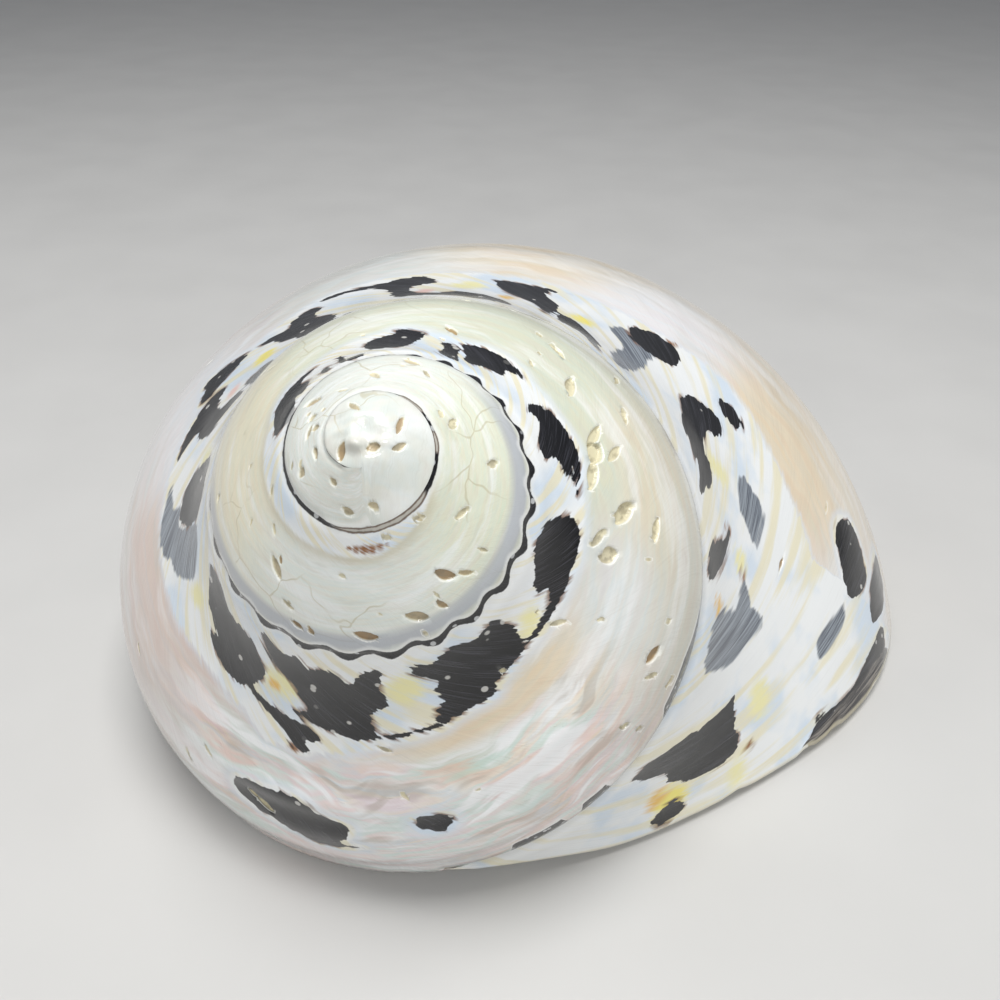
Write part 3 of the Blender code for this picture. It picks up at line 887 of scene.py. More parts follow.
def build_hollow(mesh, lip, parietal, edge_turn):
    """The lip's rim and the hollow that runs back from it, as rings at even steps, to its closed end."""
    first_turns = mouth_turns(edge_turn, parietal.turn[-1])
    before = build_lip_rim(mesh, lip, hollow_ring(first_turns, 0)[0])
    across = parietal[::-1][1:].read_as(inside=1.0)
    before = before + across + before[:1]
    before_at = np.concatenate([
        solid_step(lip.column), SECTION_STEPS + SIDE_STEPS - solid_step(across.column), [SECTION_STEPS]])
    at = np.arange(CAVITY_COLUMNS) * SECTION_STEPS / CAVITY_COLUMNS
    ring_at = np.append(at, SECTION_STEPS)
    for number in range(1, CAVITY_RINGS + 1):
        points, turns = hollow_ring(first_turns, number)
        turn = smooth_between(turns[:, None], at)[:, 0]
        ring = mesh.add(smooth_between(points, at), turn, solid_column(at), 1.0)
        ring = ring + ring[:1].read_as(column=WHOLE_COLUMNS[-1])
        mesh.stitch(ring, before, ring_at, before_at)
        before, before_at = ring, ring_at
    end_turn = np.array([CAVITY_TURNS + CAVITY_END_TURNS])
    end = mesh.add(place(section(end_turn).mean(1), end_turn), end_turn, 0.5, 1.0)[0]
    mesh.fan(before[::-1], end)


def waves(places, count, shortest, longest, seed):
    """Smooth unevenness of about -1 to 1: waves of random directions, with lengths in the places' units."""
    random = np.random.default_rng(seed)
    total = np.zeros(places.shape[:-1])
    for _ in range(count):
        heading = random.normal(size=places.shape[-1])
        heading *= 2.0 * math.pi / (np.linalg.norm(heading) * random.uniform(shortest, longest))
        total += np.sin(places @ heading + random.uniform(0.0, 2.0 * math.pi))
    return total / math.sqrt(count)


class Places:
    """Turn, column and depth of points on the shell, with distances in millimetres."""

    def __init__(self, values):
        self.turn, self.column, self.inside = values[..., 0], values[..., 1], values[..., 2]
        upper, lower = outline(self.turn, 0.0), outline(self.turn, 1.0)
        self.column_mm = 1000.0 * np.linalg.norm(lower - upper, axis=-1)
        side = np.clip(self.column, 0.0, 3.0)
        self.turn_mm = 2000.0 * math.pi * outline(self.turn, side)[..., 0]
        self.on_side = (self.column <= 1.0) & (self.inside == 0.0)
        self.below_suture = np.where(self.on_side, self.column * self.column_mm, FAR)
        has_lower = self.on_side & (self.turn >= 1.0)
        self.above_suture = np.where(has_lower, (1.0 - self.column) * self.column_mm, FAR)
        columns = np.linspace(0.0, 3.0, 61)
        lip = np.interp(self.column, columns, lip_turns(columns))
        self.from_lip = (self.turn - lip) * self.turn_mm


def relief(points, at):
    """Height in millimetres of the real surface over the smooth one."""
    suture_mm = np.minimum(at.below_suture, at.above_suture)
    suture_mm = suture_mm + 2.0 * rise(at.turn, SPIRE_TURNS - 0.12, SPIRE_TURNS - 0.01)
    groove = -GROOVE_DEPTH * bump(suture_mm, GROOVE_WIDTH)
    height = groove + EDGE_RISE * bump(suture_mm - EDGE_FROM_SUTURE, EDGE_WIDTH)
    millimetres = points * 1000.0
    uneven = UNEVENNESS * waves(millimetres, *COARSE_WAVES)
    height += uneven + FINE_UNEVENNESS * waves(millimetres, *FINE_WAVES)
    spiral = np.stack([at.turn * PEARL_WAVES_ALONG, at.column * PEARL_WAVES_ACROSS], -1)
    height += PEARL_RELIEF * ripple_and_sheen_share(at) * waves(spiral, *PEARL_WAVES)
    away = rise(suture_mm, 0.2, 2.0)
    height = height * away + (1.0 - away) * groove
    crater = bump(1000.0 * np.linalg.norm(points - APEX, axis=-1), CRATER_RADIUS)
    height += crater * (-CRATER_DEPTH + 0.6 * CRATER_DEPTH * waves(millimetres, *CRATER_WAVES))
    height *= rise(at.from_lip, 0.3, 3.0)
    return height * (at.inside == 0.0) * (at.column <= 3.0)


def chipped(at):
    """How far the worn edge of the lip is bitten away, in millimetres, at each point beside it."""
    along_lip = np.stack([at.column * LIP_MM_PER_COLUMN, np.zeros(at.column.shape)], -1)
    bitten = rise(waves(along_lip, *CHIP_WAVES), 0.0, 1.4)
    beside_lip = 1.0 - rise(at.from_lip, 0.3, 2.0)
    return CHIP_DEPTH * bitten * beside_lip * rise(at.column, 0.10, 0.22) * (at.column <= 3.0)


def ripple_and_sheen_share(at):
    """How strongly the nacre is rippled and given painted glints and sheen: most on the front of the last
    whorl.
    """
    return within(at.turn, *RIPPLE_AND_SHEEN_TURNS) * within(at.column, *RIPPLE_AND_SHEEN_COLUMNS) * (at.inside == 0.0)


def inside_mm(polygon, at, candidates):
    """Signed distance in millimetres from the candidates to a smooth outline, positive inside it."""
    polygon = np.array(polygon)
    count = len(polygon)
    polygon = smooth_between(polygon, np.arange(count * OUTLINE_STEPS) / OUTLINE_STEPS)
    scale = np.array([at.turn_mm[candidates].mean(), at.column_mm[candidates].mean()])
    start = polygon * scale
    end = np.roll(start, -1, axis=0)
    place_mm = np.stack([at.turn[candidates], at.column[candidates]], -1)[:, None] * scale
    span = end - start
    share = np.clip(((place_mm - start) * span).sum(-1) / np.maximum((span * span).sum(-1), 1e-12), 0.0, 1.0)
    distance = np.linalg.norm(place_mm - start - share[..., None] * span, axis=-1).min(1)
    crosses = (start[:, 1] > place_mm[..., 1]) != (end[:, 1] > place_mm[..., 1])
    rise_y = np.where(span[:, 1] == 0.0, 1e-12, span[:, 1])
    crossing = start[:, 0] + (place_mm[..., 1] - start[:, 1]) / rise_y * span[:, 0]
    within = (crosses & (place_mm[..., 0] < crossing)).sum(1) % 2 == 1
    return np.where(within, distance, -distance)


def outlines_mm(polygons, at):
    """The greatest signed distance over all outlines, no lower than minus the margin."""
    field = np.full(at.turn.shape, -OUTLINE_MARGIN)
    turn, column = at.turn, at.column
    for polygon in polygons:
        low, high = np.min(polygon, 0), np.max(polygon, 0)
        margin_turn, margin_column = OUTLINE_MARGIN / at.turn_mm, OUTLINE_MARGIN / at.column_mm
        near = np.nonzero((at.inside == 0.0) & (turn > low[0] - margin_turn) & (turn < high[0] + margin_turn)
                          & (column > low[1] - margin_column) & (column < high[1] + margin_column))
        if len(near[0]):
            field[near] = np.maximum(field[near], inside_mm(polygon, at, near))
    return field


def hidden_flames():
    """Flames across the base, which the photo doesn't show: leaning streaks like those by the suture."""
    random = np.random.default_rng(FLAME_SEED)
    flames = []
    turn = FLAME_TURNS[0]
    while turn < FLAME_TURNS[1]:
        width = random.uniform(*FLAME_WIDTHS)
        start = random.uniform(*FLAME_STARTS)
        end = start + random.uniform(*FLAME_SPANS)
        share = np.linspace(0.0, 1.0, FLAME_POINTS)
        middle = turn + FLAME_LEAN * share * (end - start) + random.normal(0.0, 0.003, FLAME_POINTS)
        half = 0.5 * width * np.sin(math.pi * np.clip(share, 0.04, 0.96)) ** 0.5
        half = half * random.uniform(*FLAME_SWELLS, FLAME_POINTS)
        column = start + share * (end - start)
        right = np.stack([middle + half, column], -1)
        left = np.stack([middle - half, column + random.normal(0.0, 0.02, FLAME_POINTS)], -1)[::-1]
        flames.append(np.concatenate([right, left]))
        turn += width + random.uniform(*FLAME_GAPS)
    return flames


def blend_tints(at):
    """The nacre's own colour: a smooth mix of the tints of the nearest anchors."""
    total = np.zeros(at.turn.shape + (3,))
    weights = np.zeros(at.turn.shape)
    for turn, column, tint in NACRE_TINTS:
        apart = ((at.turn - turn) * TINT_TURN_SCALE) ** 2 + ((at.column - column) * TINT_COLUMN_SCALE) ** 2
        weight = 1.0 / (apart + 0.03) ** 2
        total += weight[..., None] * srgb(*tint)
        weights += weight
    mixed = total / weights[..., None]
    hidden = np.maximum(rise(at.column, 1.05, 1.5), rise(at.inside, 0.0, 0.3))[..., None]
    return mixed + (srgb(*HOLLOW_PEARL) - mixed) * hidden


def stains(at):
    """How strongly a stain colours the white layer at each place, and the colour of the nearest one."""
    strength = np.zeros(at.turn.shape)
    colour = np.zeros(at.turn.shape + (3,)) + srgb(*YELLOW)
    for turn, column, radius, tint in STAINS:
        away = np.hypot((at.turn - turn) * at.turn_mm, (at.column - column) * at.column_mm) / radius
        here = np.exp(-away ** 2) * (at.inside == 0.0)
        colour = np.where((here > strength)[..., None], srgb(*tint), colour)
        strength = np.maximum(strength, here)
    return strength, colour


def corner_fields(at):
    """Every attribute that the material reads, at each corner, but for the pits."""
    black = outlines_mm(BLACK + hidden_flames(), at)
    edge = table(LAYER_EDGE, at.turn)
    base_edge = BASE_LAYER_EDGE + BASE_EDGE_WAVE * np.sin(at.turn * BASE_EDGE_WAVES)
    layer = np.maximum(edge - at.column, at.column - base_edge) * at.column_mm
    stain, stain_tint = stains(at)
    fields = {"turn": at.turn, "column": at.column, "inside": at.inside, "black": black,
              "grey": outlines_mm(GREY, at), "layer": np.clip(layer, -FAR, FAR), "stain": stain,
              "from_lip": np.clip(at.from_lip, 0.0, FAR), "ripple_and_sheen": ripple_and_sheen_share(at)}
    for name, distance, side, suture_turn in (("newer", at.below_suture, -1.0, at.turn),
                                              ("older", at.above_suture, 1.0, at.turn - 1.0)):
        wave = SCALLOP * within(suture_turn, *SCALLOP_SPAN)
        centre = table([row[:2] for row in SEAM_LINE], suture_turn) + wave * np.sin(
            2.0 * math.pi * suture_turn / SCALLOP_TURNS)
        half = table([row[::2] for row in SEAM_LINE], suture_turn)
        fields[name] = np.stack([side * distance, centre, half], -1)
    fields["band"] = within(at.turn - 1.0, *BAND_SPAN) * within(at.above_suture, *BAND_MM)
    margin = np.minimum(at.from_lip - LIP_RIM, table(MARGIN_WIDTH, at.column) - at.from_lip)
    fields["margin"] = np.clip(margin, -FAR, FAR)
    fields["tint"] = blend_tints(at)
    fields["stain_tint"] = stain_tint
    return fields


def vertex_normals(points, faces):
    corners = points[faces]
    facing = np.cross(corners[:, 1] - corners[:, 0], corners[:, 2] - corners[:, 0])
    normals = np.zeros_like(points)
    for corner in range(3):
        np.add.at(normals, faces[:, corner], facing)
    return normals / np.maximum(np.linalg.norm(normals, axis=1, keepdims=True), 1e-20)


def relax(points, faces, share, rounds):
    """Moves each point towards its neighbours' middle by its share, over and over."""
    touched = faces[(share[faces] > 0.0).any(1)]
    start = touched.ravel()
    end = np.roll(touched, -1, axis=1).ravel()
    degree = np.maximum(np.bincount(start, minlength=len(points)), 1)
    for _ in range(rounds):
        middle = np.stack([np.bincount(start, points[end, axis], len(points)) for axis in range(3)], -1)
        points = points + share[:, None] * (middle / degree[:, None] - points)
    return points


def edges_at_pits(points, edges, pits, longest):
    """Marks the edges beside a pit that are longer than they may be there."""
    start, end = points[edges[:, 0]], points[edges[:, 1]]
    middle = 0.5 * (start + end)
    near = np.zeros(len(edges), bool)
    for pit in pits:
        close = np.nonzero(np.abs(middle - pit.centre).max(1) < PIT_REACH * pit.half_length + longest)[0]
        near[close] |= pit.shares(middle[close]) > -PIT_MARGIN
    return near & (np.linalg.norm(end - start, axis=1) > longest)


def refine(points, faces, corners, pits, longest):
    """Halves the long edges at the pits. Each new point lies on the smooth surface between its ends."""
    normals = vertex_normals(points, faces)
    ends = np.sort(np.stack([faces, np.roll(faces, -1, axis=1)], -1), -1)
    edges, edge_of = np.unique(ends.reshape(-1, 2), axis=0, return_inverse=True)
    marked = edges_at_pits(points, edges, pits, longest)
    start, end = edges[marked].T
    span = points[end] - points[start]
    lift = ((span * normals[end]).sum(1, keepdims=True) * normals[end]
            - (span * normals[start]).sum(1, keepdims=True) * normals[start])
    middle = np.full(len(edges), -1)
    middle[marked] = len(points) + np.arange(len(start))
    points = np.concatenate([points, 0.5 * (points[start] + points[end]) + lift / 8.0])
    middle = middle[edge_of.reshape(-1, 3)]
    halved = middle >= 0
    count = halved.sum(1)
    first = np.where(count == 2, (np.argmin(halved, 1) + 1) % 3, np.argmax(halved, 1))
    order = (first[:, None] + np.arange(3)) % 3
    faces, middle = (np.take_along_axis(each, order, 1) for each in (faces, middle))
    corners = np.take_along_axis(corners, order[..., None], 1)
    ids = np.concatenate([faces, middle], 1)
    values = np.concatenate([corners, 0.5 * (corners + np.roll(corners, -1, axis=1))], 1)
    new_ids, new_values = [], []
    for marks, pieces in SPLITS.items():
        here = count == marks
        for piece in pieces:
            new_ids.append(ids[here][:, piece])
            new_values.append(values[here][:, piece])
    return points, np.concatenate(new_ids), np.concatenate(new_values)


class Pit:
    """A leaf-shaped hollow in the polished surface."""

    def __init__(self, turn, column, length, brown, random):
        here = surface(turn, column)
        along = surface(turn + 0.002, column) - here
        across = surface(turn, column + 0.002) - here
        along /= np.linalg.norm(along)
        self.normal = np.cross(across, along)
        self.normal /= np.linalg.norm(self.normal)
        across = np.cross(along, self.normal)
        angle = random.uniform(*PIT_ANGLES)
        self.long_axis = math.cos(angle) * along + math.sin(angle) * across
        self.short_axis = np.cross(self.normal, self.long_axis)
        self.centre = here
        is_round = random.uniform() < ROUND_PITS
        self.half_length = 0.0005 * length * (ROUND_LENGTH if is_round else 1.0)
        self.half_width = self.half_length * (ROUND_WIDTH if is_round else random.uniform(*LEAF_WIDTHS))
        self.depth = min(DEEPEST_PIT, PIT_SINKS * self.half_width) * random.uniform(*PIT_DEPTHS)
        self.brown = brown
        self.bend = random.uniform(*PIT_BENDS)

    def shares(self, points):
        """How far inside the pit each point lies: 1 at its middle, 0 at its edge, and negative outside."""
        offset = points - self.centre
        long = offset @ self.long_axis / self.half_length
        short = offset @ self.short_axis / self.half_width - self.bend * (1.0 - long ** 2)
        off_surface = np.abs(offset @ self.normal) > PIT_THROUGH
        leaf = 1.0 - np.abs(short) / np.maximum(1.0 - long ** 2, 0.02)
        round_off = 1.0 - np.abs(long)
        return np.where(off_surface, -9.0, np.minimum(leaf, 2.0 * round_off))


def all_pits():
    random = np.random.default_rng(PIT_SEED)
    pits = [Pit(*row, random) for row in PITS]
    for count, *ranges in RANDOM_PITS:
        for _ in range(count):
            pits.append(Pit(*(random.uniform(*limits) for limits in ranges), random))
    return pits


def carve(points, faces, corners):
    """The mesh with the pits pressed in, in finer triangles, and each vertex's depth and brown in them."""
    pits = all_pits()
    for longest in PIT_EDGES:
        points, faces, corners = refine(points, faces, corners, pits, longest)
    normals = vertex_normals(points, faces)
    outside = np.ones(len(points), bool)
    outside[faces[corners[..., 2] > 0.0]] = False
    depth, brown = np.zeros(len(points)), np.zeros(len(points))
    pushed = points.copy()
    for pit in pits:
        in_reach = np.abs(points - pit.centre).max(1) < PIT_REACH * pit.half_length
        close = np.nonzero(in_reach & outside)[0]
        share = np.clip(pit.shares(points[close]), 0.0, 1.0)
        sunk = rise(share, 0.0, 0.45)
        pushed[close] -= (pit.depth * sunk)[:, None] * normals[close]
        depth[close] = np.maximum(depth[close], sunk)
        brown[close] = np.maximum(brown[close], sunk * pit.brown)
    return pushed, faces, corners, depth, brown


def worn_surface(mesh):
    """The points, faces and corner fields of the mesh, with all its relief and inside the solid's box."""
    points, faces, corners = (np.concatenate(each) for each in (mesh.points, mesh.faces, mesh.corners))
    whole = (faces[:, 0] != faces[:, 1]) & (faces[:, 1] != faces[:, 2]) & (faces[:, 2] != faces[:, 0])
    faces, corners = faces[whole], corners[whole]
    values = np.zeros((len(points), 3))
    values[faces] = corners
    at = Places(values)
    tip = 0.5 * rise(at.turn, TIP_FROM_TURN, TIP_FROM_TURN + 0.15) * (at.inside == 0.0) * (at.column <= 1.0)
    tip *= np.linalg.norm(points - APEX, axis=1) < TIP_RADIUS
    tip[faces[(corners[..., 1] == 0.0) & (corners[..., 0] < SPIRE_TURNS)]] = 0.0
    points = relax(points, faces, tip, TIP_ROUNDS)
    points = points + vertex_normals(points, faces) * (0.001 * relief(points, at))[:, None]
    points[:, 2] += 0.001 * chipped(at)
    points, faces, corners, pit, brown = carve(points, faces, corners)
    low, high = points.min(0), points.max(0)
    solid_low, solid_high = np.array(solid_box[0]), np.array(solid_box[1])
    points = solid_low + (points - low) * (solid_high - solid_low) / (high - low)
    fields = corner_fields(Places(corners))
    fields["pit"], fields["brown"] = pit[faces], brown[faces]
    return points, faces, fields


def add_object(name, data):
    made = bpy.data.objects.new(name, data)
    bpy.context.collection.objects.link(made)
    return made


def mesh_object(name, points, faces, fields):
    """A smooth mesh of triangles, with its fields as attributes of the face corners."""
    data = bpy.data.meshes.new(name)
    data.vertices.add(len(points))
    data.vertices.foreach_set("co", points.astype(np.float32).ravel())
    data.loops.add(faces.size)
    data.loops.foreach_set("vertex_index", faces.astype(np.int32).ravel())
    data.polygons.add(len(faces))
    data.polygons.foreach_set("loop_start", np.arange(0, faces.size, 3, dtype=np.int32))
    data.update(calc_edges=True)
    data.shade_smooth()
    for field, numbers in fields.items():
        kind, key = ("FLOAT_VECTOR", "vector") if numbers.ndim == 3 else ("FLOAT", "value")
        if field.endswith("tint"):
            kind, key = "FLOAT_COLOR", "color"
            numbers = np.concatenate([numbers, np.ones(numbers.shape[:-1] + (1,))], -1)
        layer = data.attributes.new(field, kind, "CORNER")
        layer.data.foreach_set(key, numbers.astype(np.float32).ravel())
    return add_object(name, data)


class Graph:
    """A material's nodes, made by short calls that take numbers, screen colours or other nodes' outputs."""

    def __init__(self, name):
        self.material = bpy.data.materials.new(name)
        self.material.use_nodes = True
        self.tree = self.material.node_tree
        self.shader = self.tree.nodes["Principled BSDF"].inputs
        self.position = self.node("ShaderNodeTexCoord", {}).outputs["Object"]

    def put(self, socket, value):
        if isinstance(value, bpy.types.NodeSocket):
            self.tree.links.new(value, socket)
        elif socket.type == "RGBA":
            socket.default_value = (*srgb(*value), 1.0)
        else:
            socket.default_value = value

    def node(self, kind, inputs, **settings):
        made = self.tree.nodes.new(kind)
        for name, value in settings.items():
            setattr(made, name, value)
        for key, value in inputs.items():
            self.put(made.inputs[key], value)
        return made

    def attribute(self, name, output="Fac"):
        return self.node("ShaderNodeAttribute", {}, attribute_name=name).outputs[output]

    def math(self, operation, *values):
        return self.node("ShaderNodeMath", dict(enumerate(values)), operation=operation).outputs[0]

    def add(self, first, second):
        return self.math("ADD", first, second)

    def times(self, first, second):
        return self.math("MULTIPLY", first, second)

    def spread(self, noise, width):
        """A noise of 0 to 1 as an offset, up to half the width to either side."""
        return self.times(self.math("SUBTRACT", noise, 0.5), width)

    def mix(self, share, first, second):
        inputs = {0: share, 6: first, 7: second}
        return self.node("ShaderNodeMix", inputs, data_type="RGBA").outputs[2]

    def rise(self, value, low, high, start=0.0, end=1.0):
        inputs = {0: value, 1: low, 2: high, 3: start, 4: end}
        return self.node("ShaderNodeMapRange", inputs, interpolation_type="SMOOTHSTEP").outputs[0]

    def fall(self, value, low, high):
        return self.rise(value, low, high, 1.0, 0.0)

    def noise(self, vector, scale, detail=2.0, roughness=0.5):
        inputs = {"Vector": vector, "Scale": scale, "Detail": detail, "Roughness": roughness}
        return self.node("ShaderNodeTexNoise", inputs).outputs[0]

    def cells(self, vector, scale, feature="F1"):
        return self.node("ShaderNodeTexVoronoi", {"Vector": vector, "Scale": scale}, feature=feature).outputs

    def spots(self, scale, channel, chosen, edge):
        """Round spots in those cells of a pattern whose own random number is past the chosen one."""
        cells = self.cells(self.position, scale)
        is_chosen = self.rise(self.separate(cells["Color"])[channel], *chosen)
        return self.times(self.fall(cells["Distance"], *edge), is_chosen)

    def combine(self, x, y):
        return self.node("ShaderNodeCombineXYZ", {0: x, 1: y}).outputs[0]

    def separate(self, vector):
        return self.node("ShaderNodeSeparateXYZ", {0: vector}).outputs

    def ramp(self, value, stops):
        made = self.node("ShaderNodeValToRGB", {0: value})
        for place, colour in stops:
            stop = made.color_ramp.elements.new(place)
            stop.color = (*srgb(*colour), 1.0)
        made.color_ramp.elements.remove(made.color_ramp.elements[-1])
        made.color_ramp.elements.remove(made.color_ramp.elements[0])
        return made.outputs["Color"]


class ShellGraph(Graph):
    """The shell's material, with the fields that its layers share. Each layer goes over the one before."""

    def __init__(self):
        super().__init__("polished_nacre")
        self.turn, self.column, self.inside = (self.attribute(name) for name in ("turn", "column", "inside"))
        self.black_mm, self.pit, self.ripple_and_sheen = (self.attribute(name) for name in ("black", "pit", "ripple_and_sheen"))

        # Noise drawn out along the growth lines, which lean back from the suture
        on_side = self.math("MINIMUM", self.column, 1.0)
        lean = self.times(on_side, self.math("MULTIPLY_ADD", on_side, *GROWTH_LEAN))
        self.across = self.times(self.math("SUBTRACT", self.turn, lean), GROWTH_LINES_A_TURN)
        self.grain = self.combine(self.across, self.times(self.column, 7.0))
        self.streak = self.noise(self.grain, 1.3, 4.0, 0.62)
        self.lines = self.noise(self.combine(self.across, self.times(self.column, 1.6)), 4.5, 3.0, 0.6)
        self.blotch = self.noise(self.position, 170.0, 3.0)
        self.speckle = self.noise(self.position, 1500.0, 3.0, 0.6)
        self.whorl_scale = self.math("MAXIMUM", self.math("MULTIPLY_ADD", self.turn, -1.0, 2.1), 0.4)

    def nacre(self):
        """The local tint, bands of painted iridescent sheen, painted white sheen, painted glints with painted
        fringes and painted shade on the pearly front, and faint growth lines.
        """
        # Painted iridescent sheen in bands, stronger on the pearly front and in the hollow
        across_bands = self.add(self.times(self.column, 4.6), self.times(self.blotch, 0.45))
        sweep = self.combine(self.times(self.turn, 5.0), across_bands)
        band_noise = self.noise(sweep, 2.4, 3.0, 0.55)
        hollow = self.rise(self.inside, 0.5, 1.0)
        iridescence_share = self.add(self.add(self.times(self.ripple_and_sheen, 0.34), 0.14), self.times(hollow, 0.25))
        colour = self.mix(iridescence_share, self.attribute("tint", "Color"), self.ramp(band_noise, PAINTED_IRIDESCENCE))
        # Painted white sheen in bands, strongest on the pearly front
        strongest_sheen = self.add(self.times(self.ripple_and_sheen, 0.4), 0.5)
        white_sheen = self.rise(self.noise(sweep, 1.5, 4.0, 0.6), 0.48, 0.66, 0.0, strongest_sheen)
        colour = self.mix(white_sheen, colour, SHEEN_WHITE)
        colour = self.mix(self.rise(self.noise(sweep, 3.1, 3.0, 0.6), 0.48, 0.75, 0.0, 0.30), colour, SHADE)

        # Painted glints along the spiral on the pearly front, with painted iridescent fringes and painted
        # shade between them
        wavy = self.add(self.times(self.column, 8.0), self.times(self.noise(self.position, 110.0), 3.0))
        glint = self.noise(self.combine(self.times(self.turn, 11.0), wavy), 1.0, 3.0, 0.6)
        fringe = self.mix(self.rise(band_noise, 0.45, 0.55), MINT, ROSE)
        for share, strength, tone in ((self.fall(glint, 0.36, 0.44), 0.5, SHADE_AND_GROWTH_LINE),
                                      (self.rise(glint, 0.45, 0.52), 0.6, fringe),
                                      (self.rise(glint, 0.51, 0.61), 0.92, GLINT)):
            colour = self.mix(self.times(self.times(share, self.ripple_and_sheen), strength), colour, tone)
        colour = self.mix(self.rise(self.lines, 0.45, 0.75, 0.0, 0.14), colour, SHADE_AND_GROWTH_LINE)
        return self.mix(self.hair_cracks(), colour, CRACK)

    def hair_cracks(self):
        """Fine wandering cracks, in patches of the older whorls."""
        wander = self.combine(self.times(self.blotch, 0.006),
                              self.times(self.noise(self.position, 260.0), 0.006))
        bent = self.node("ShaderNodeVectorMath", {0: self.position, 1: wander}).outputs[0]
        crack = self.fall(self.cells(bent, 210.0, "DISTANCE_TO_EDGE")["Distance"], 0.004, 0.016)
        crack = self.times(crack, self.rise(self.turn, 1.40, 1.60))
        return self.times(crack, self.rise(self.blotch, 0.46, 0.58, 0.0, 0.5))

    def white_layer(self, under):
        """The outer layer: bluish where it is thin, cream in streaks, stained, and feathered at its edge."""
        white = self.mix(self.rise(self.blotch, 0.36, 0.54), THIN_WHITE, WHITE)
        cream = self.rise(self.noise(self.grain, 0.45, 3.0), 0.48, 0.62, 0.0, 0.8)
        white = self.mix(cream, white, CREAM_STREAK)
        white = self.mix(self.rise(self.lines, 0.56, 0.78, 0.0, 0.16), white, CHALK)
        stain = self.rise(self.add(self.attribute("stain"), self.spread(self.streak, 1.2)), 0.36, 0.95)
        white = self.mix(stain, white, self.attribute("stain_tint", "Color"))

        feather = self.spread(self.streak, self.times(self.whorl_scale, 1.5))
        round_flames = self.add(self.add(self.black_mm, LAYER_ROUND_FLAMES), self.times(feather, 0.25))
        layer_mm = self.math("MAXIMUM", self.add(self.attribute("layer"), feather), round_flames)
        rim = self.times(self.rise(layer_mm, -0.9, 0.0), self.fall(layer_mm, 0.0, 0.5))
        rim_colour = self.mix(self.rise(self.turn, 1.60, 1.75), THIN_RIM, TAN_RIM)
        colour = self.mix(self.times(rim, 0.55), under, rim_colour)
        return self.mix(self.rise(layer_mm, -0.15, 0.35), colour, white)

    def black(self):
        """The black of the flames, with pale lines along the growth and a few bubbles."""
        colour = self.mix(self.rise(self.lines, 0.50, 0.66, 0.0, 0.30), BLACKEST, BLACK_LINES)
        bubbles = self.spots(900.0, 0, (0.86, 0.88), (0.18, 0.26))
        return self.mix(self.times(bubbles, 0.8), colour, BUBBLE)

    def flames(self, under, black):
        """Grey flames that show through the layer, and black ones with feathered tips and brown fringes."""
        tips = self.spread(self.noise(self.grain, 1.05, 2.0, 0.45), self.times(self.whorl_scale, 0.8))
        grey = self.mix(self.rise(self.lines, 0.40, 0.60), DARK_GREY, PALE_GREY)
        grey_mm = self.add(self.attribute("grey"), tips)
        colour = self.mix(self.rise(grey_mm, -0.15, 0.25), under, grey)
        edge_mm = self.add(self.add(self.black_mm, tips), self.spread(self.speckle, 0.25))
        in_places = self.rise(self.noise(self.grain, 0.5), 0.49, 0.60)
        fringe = self.times(self.rise(edge_mm, -0.42, -0.02), in_places)
        colour = self.mix(self.times(fringe, 0.8), colour, FRINGE)
        return self.mix(self.rise(edge_mm, -0.05, 0.05), colour, black)

    def seam_line(self):
        """How far inside the dark line along the suture, in millimetres, its half width and suture turn."""
        depths, halves = [], []
        for name in ("newer", "older"):
            from_suture, centre, half = self.separate(self.attribute(name, "Vector"))
            off_centre = self.math("ABSOLUTE", self.math("SUBTRACT", from_suture, centre))
            depths.append(self.math("SUBTRACT", half, off_centre))
            halves.append(half)
        is_older = self.math("GREATER_THAN", depths[1], depths[0])
        half = self.math("MULTIPLY_ADD", is_older, self.math("SUBTRACT", halves[1], halves[0]), halves[0])
        return self.math("MAXIMUM", *depths), half, self.math("SUBTRACT", self.turn, is_older)

    def suture_marks(self, under, black):
        """The grey band by the scalloped line, and the line along the suture, black or double and brown."""
        colour = self.mix(self.times(self.attribute("band"), 0.8), under, BAND)
        seam_mm, half, turn = self.seam_line()
        seam_mm = self.add(seam_mm, self.spread(self.speckle, 0.18))
        beside = self.times(self.rise(seam_mm, -0.40, -0.10), self.rise(half, 0.08, 0.12))
        colour = self.mix(self.times(beside, 0.6), colour, BESIDE_SEAM)
        beads = self.spots(1500.0, 1, (0.50, 0.54), (0.22, 0.32))
        beaded = self.mix(self.times(beads, 0.8), black, BEAD)
        double = self.mix(self.rise(seam_mm, 0.07, 0.15), SEAM_BROWN, SEAM_TAN)
        is_double = self.times(self.rise(turn, 1.52, 1.68), self.rise(half, 0.140, 0.168))
        is_seam = self.times(self.rise(seam_mm, -0.04, 0.04), self.rise(half, 0.01, 0.04))
        return self.mix(is_seam, colour, self.mix(is_double, beaded, double))

    def lip_and_pits(self, under):
        """The dark margin at the lip, its cream rim, and the pits with their pale edges."""
        margin_mm = self.add(self.attribute("margin"), self.spread(self.streak, 1.0))
        margin = self.mix(self.rise(self.lines, 0.42, 0.66), MARGIN_DARK, MARGIN_PALE)
        colour = self.mix(self.rise(margin_mm, -0.08, 0.08), under, margin)
        rim = self.times(self.fall(self.attribute("from_lip"), 0.2, 0.7), self.fall(self.inside, 0.6, 1.0))
        colour = self.mix(self.times(rim, 0.6), colour, LIP_CREAM)
        bottom = self.mix(self.rise(self.attribute("brown"), 0.25, 0.8), PIT_CREAM, PIT_BROWN)
        bottom = self.mix(self.rise(self.speckle, 0.45, 0.65, 0.0, 0.5), bottom, PIT_SPECK)
        edge = self.times(self.rise(self.pit, 0.01, 0.08), self.fall(self.pit, 0.12, 0.40))
        colour = self.mix(self.times(edge, 0.75), colour, PIT_RIM)
        return self.mix(self.rise(self.pit, 0.22, 0.75, 0.0, 0.85), colour, bottom)

    def roughness(self):
        streaky = self.add(0.12, self.times(self.rise(self.streak, 0.4, 0.7), 0.12))
        return self.add(streaky, self.times(self.pit, 0.4))

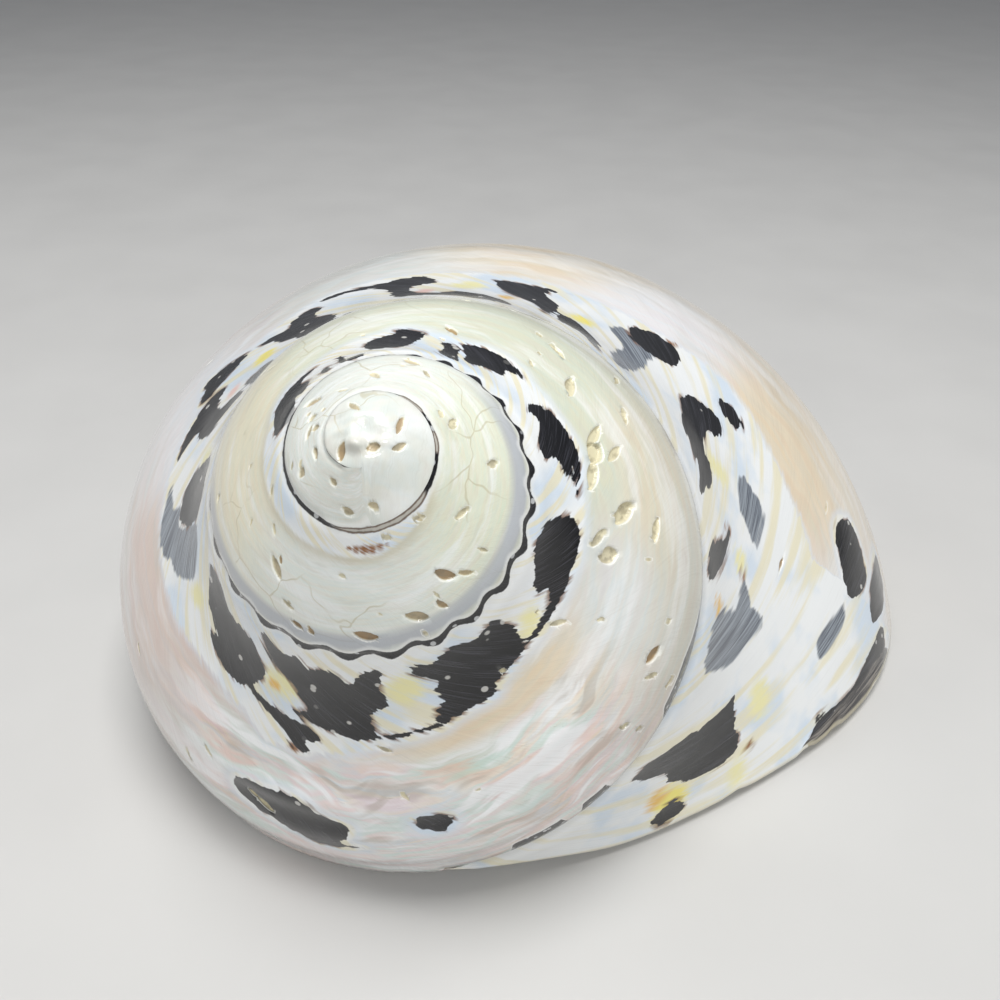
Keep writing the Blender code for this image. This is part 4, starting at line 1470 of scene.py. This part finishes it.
    def fine_relief(self):
        """Growth lines, slight unevenness, and scratches along the pearly front."""
        uneven = self.times(self.noise(self.position, 420.0, 3.0), 0.9)
        height = self.add(self.add(self.times(self.lines, 0.5), uneven), self.times(self.speckle, 0.12))
        scratches = self.noise(self.combine(self.across, self.times(self.column, 90.0)), 0.9)
        height = self.add(height, self.times(self.rise(scratches, 0.62, 0.72), self.times(self.ripple_and_sheen, 0.5)))
        bump = {"Strength": 1.0, "Distance": BUMP_HEIGHT, "Height": height}
        return self.node("ShaderNodeBump", bump).outputs[0]


def shell_material():
    graph = ShellGraph()
    black = graph.black()
    colour = graph.white_layer(graph.nacre())
    colour = graph.flames(colour, black)
    colour = graph.suture_marks(colour, black)
    graph.put(graph.shader["Base Color"], graph.lip_and_pits(colour))
    graph.put(graph.shader["Roughness"], graph.roughness())
    graph.put(graph.shader["Normal"], graph.fine_relief())
    graph.shader["Coat Weight"].default_value = COAT
    graph.shader["Coat Roughness"].default_value = COAT_ROUGHNESS
    graph.shader["IOR"].default_value = NACRE_IOR
    return graph.material


def floor_material():
    graph = Graph("pale_paper")
    mottle = graph.noise(graph.position, 60.0, 4.0)
    graph.put(graph.shader["Base Color"], graph.mix(mottle, PAPER, PALE_PAPER))
    graph.put(graph.shader["Roughness"], graph.rise(mottle, 0.3, 0.7, 0.75, 0.9))
    return graph.material


def make_floor():
    data = bpy.data.meshes.new("floor")
    sides = ((-1, -1), (1, -1), (1, 1), (-1, 1))
    data.from_pydata([(x * FLOOR_REACH, y * FLOOR_REACH, FLOOR_HEIGHT) for x, y in sides], [], [(0, 1, 2, 3)])
    floor = add_object("floor", data)
    floor.data.materials.append(floor_material())


def make_camera():
    data = bpy.data.cameras.new("camera")
    data.sensor_width = 36.0
    data.lens = CAMERA_LENS
    data.clip_start = 0.005
    camera = add_object("camera", data)
    right = Vector((1.0, 0.0, 0.0))
    up = Vector((0.0, math.sin(CAMERA_PITCH), math.cos(CAMERA_PITCH)))
    back = Vector((0.0, -math.cos(CAMERA_PITCH), math.sin(CAMERA_PITCH)))
    rolled_right = math.cos(CAMERA_ROLL) * right + math.sin(CAMERA_ROLL) * up
    rolled_up = -math.sin(CAMERA_ROLL) * right + math.cos(CAMERA_ROLL) * up
    turned = Matrix((rolled_right, rolled_up, back)).transposed().to_4x4()
    camera.matrix_world = Matrix.Translation(CAMERA_PLACE) @ turned
    bpy.context.scene.camera = camera


def area_light(name, location, size, power):
    """A square light that faces the shell."""
    data = bpy.data.lights.new(name, "AREA")
    data.size = size
    data.energy = power
    light = add_object(name, data)
    light.location = location
    light.rotation_euler = (Vector(location) * -1).to_track_quat("-Z", "Y").to_euler()


def make_world():
    world = bpy.data.worlds.new("world")
    world.use_nodes = True
    background = world.node_tree.nodes["Background"].inputs
    background["Color"].default_value = WORLD_COLOUR
    background["Strength"].default_value = WORLD_STRENGTH
    bpy.context.scene.world = world


shell = mesh_object("polished_shell", *worn_surface(build_shell()))
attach(shell, "root")
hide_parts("shell")
shell.data.materials.append(shell_material())

make_floor()
make_camera()
for light_name, settings in LIGHTS.items():
    area_light(light_name, *settings)
make_world()
bpy.context.scene.view_settings.view_transform = "Standard"
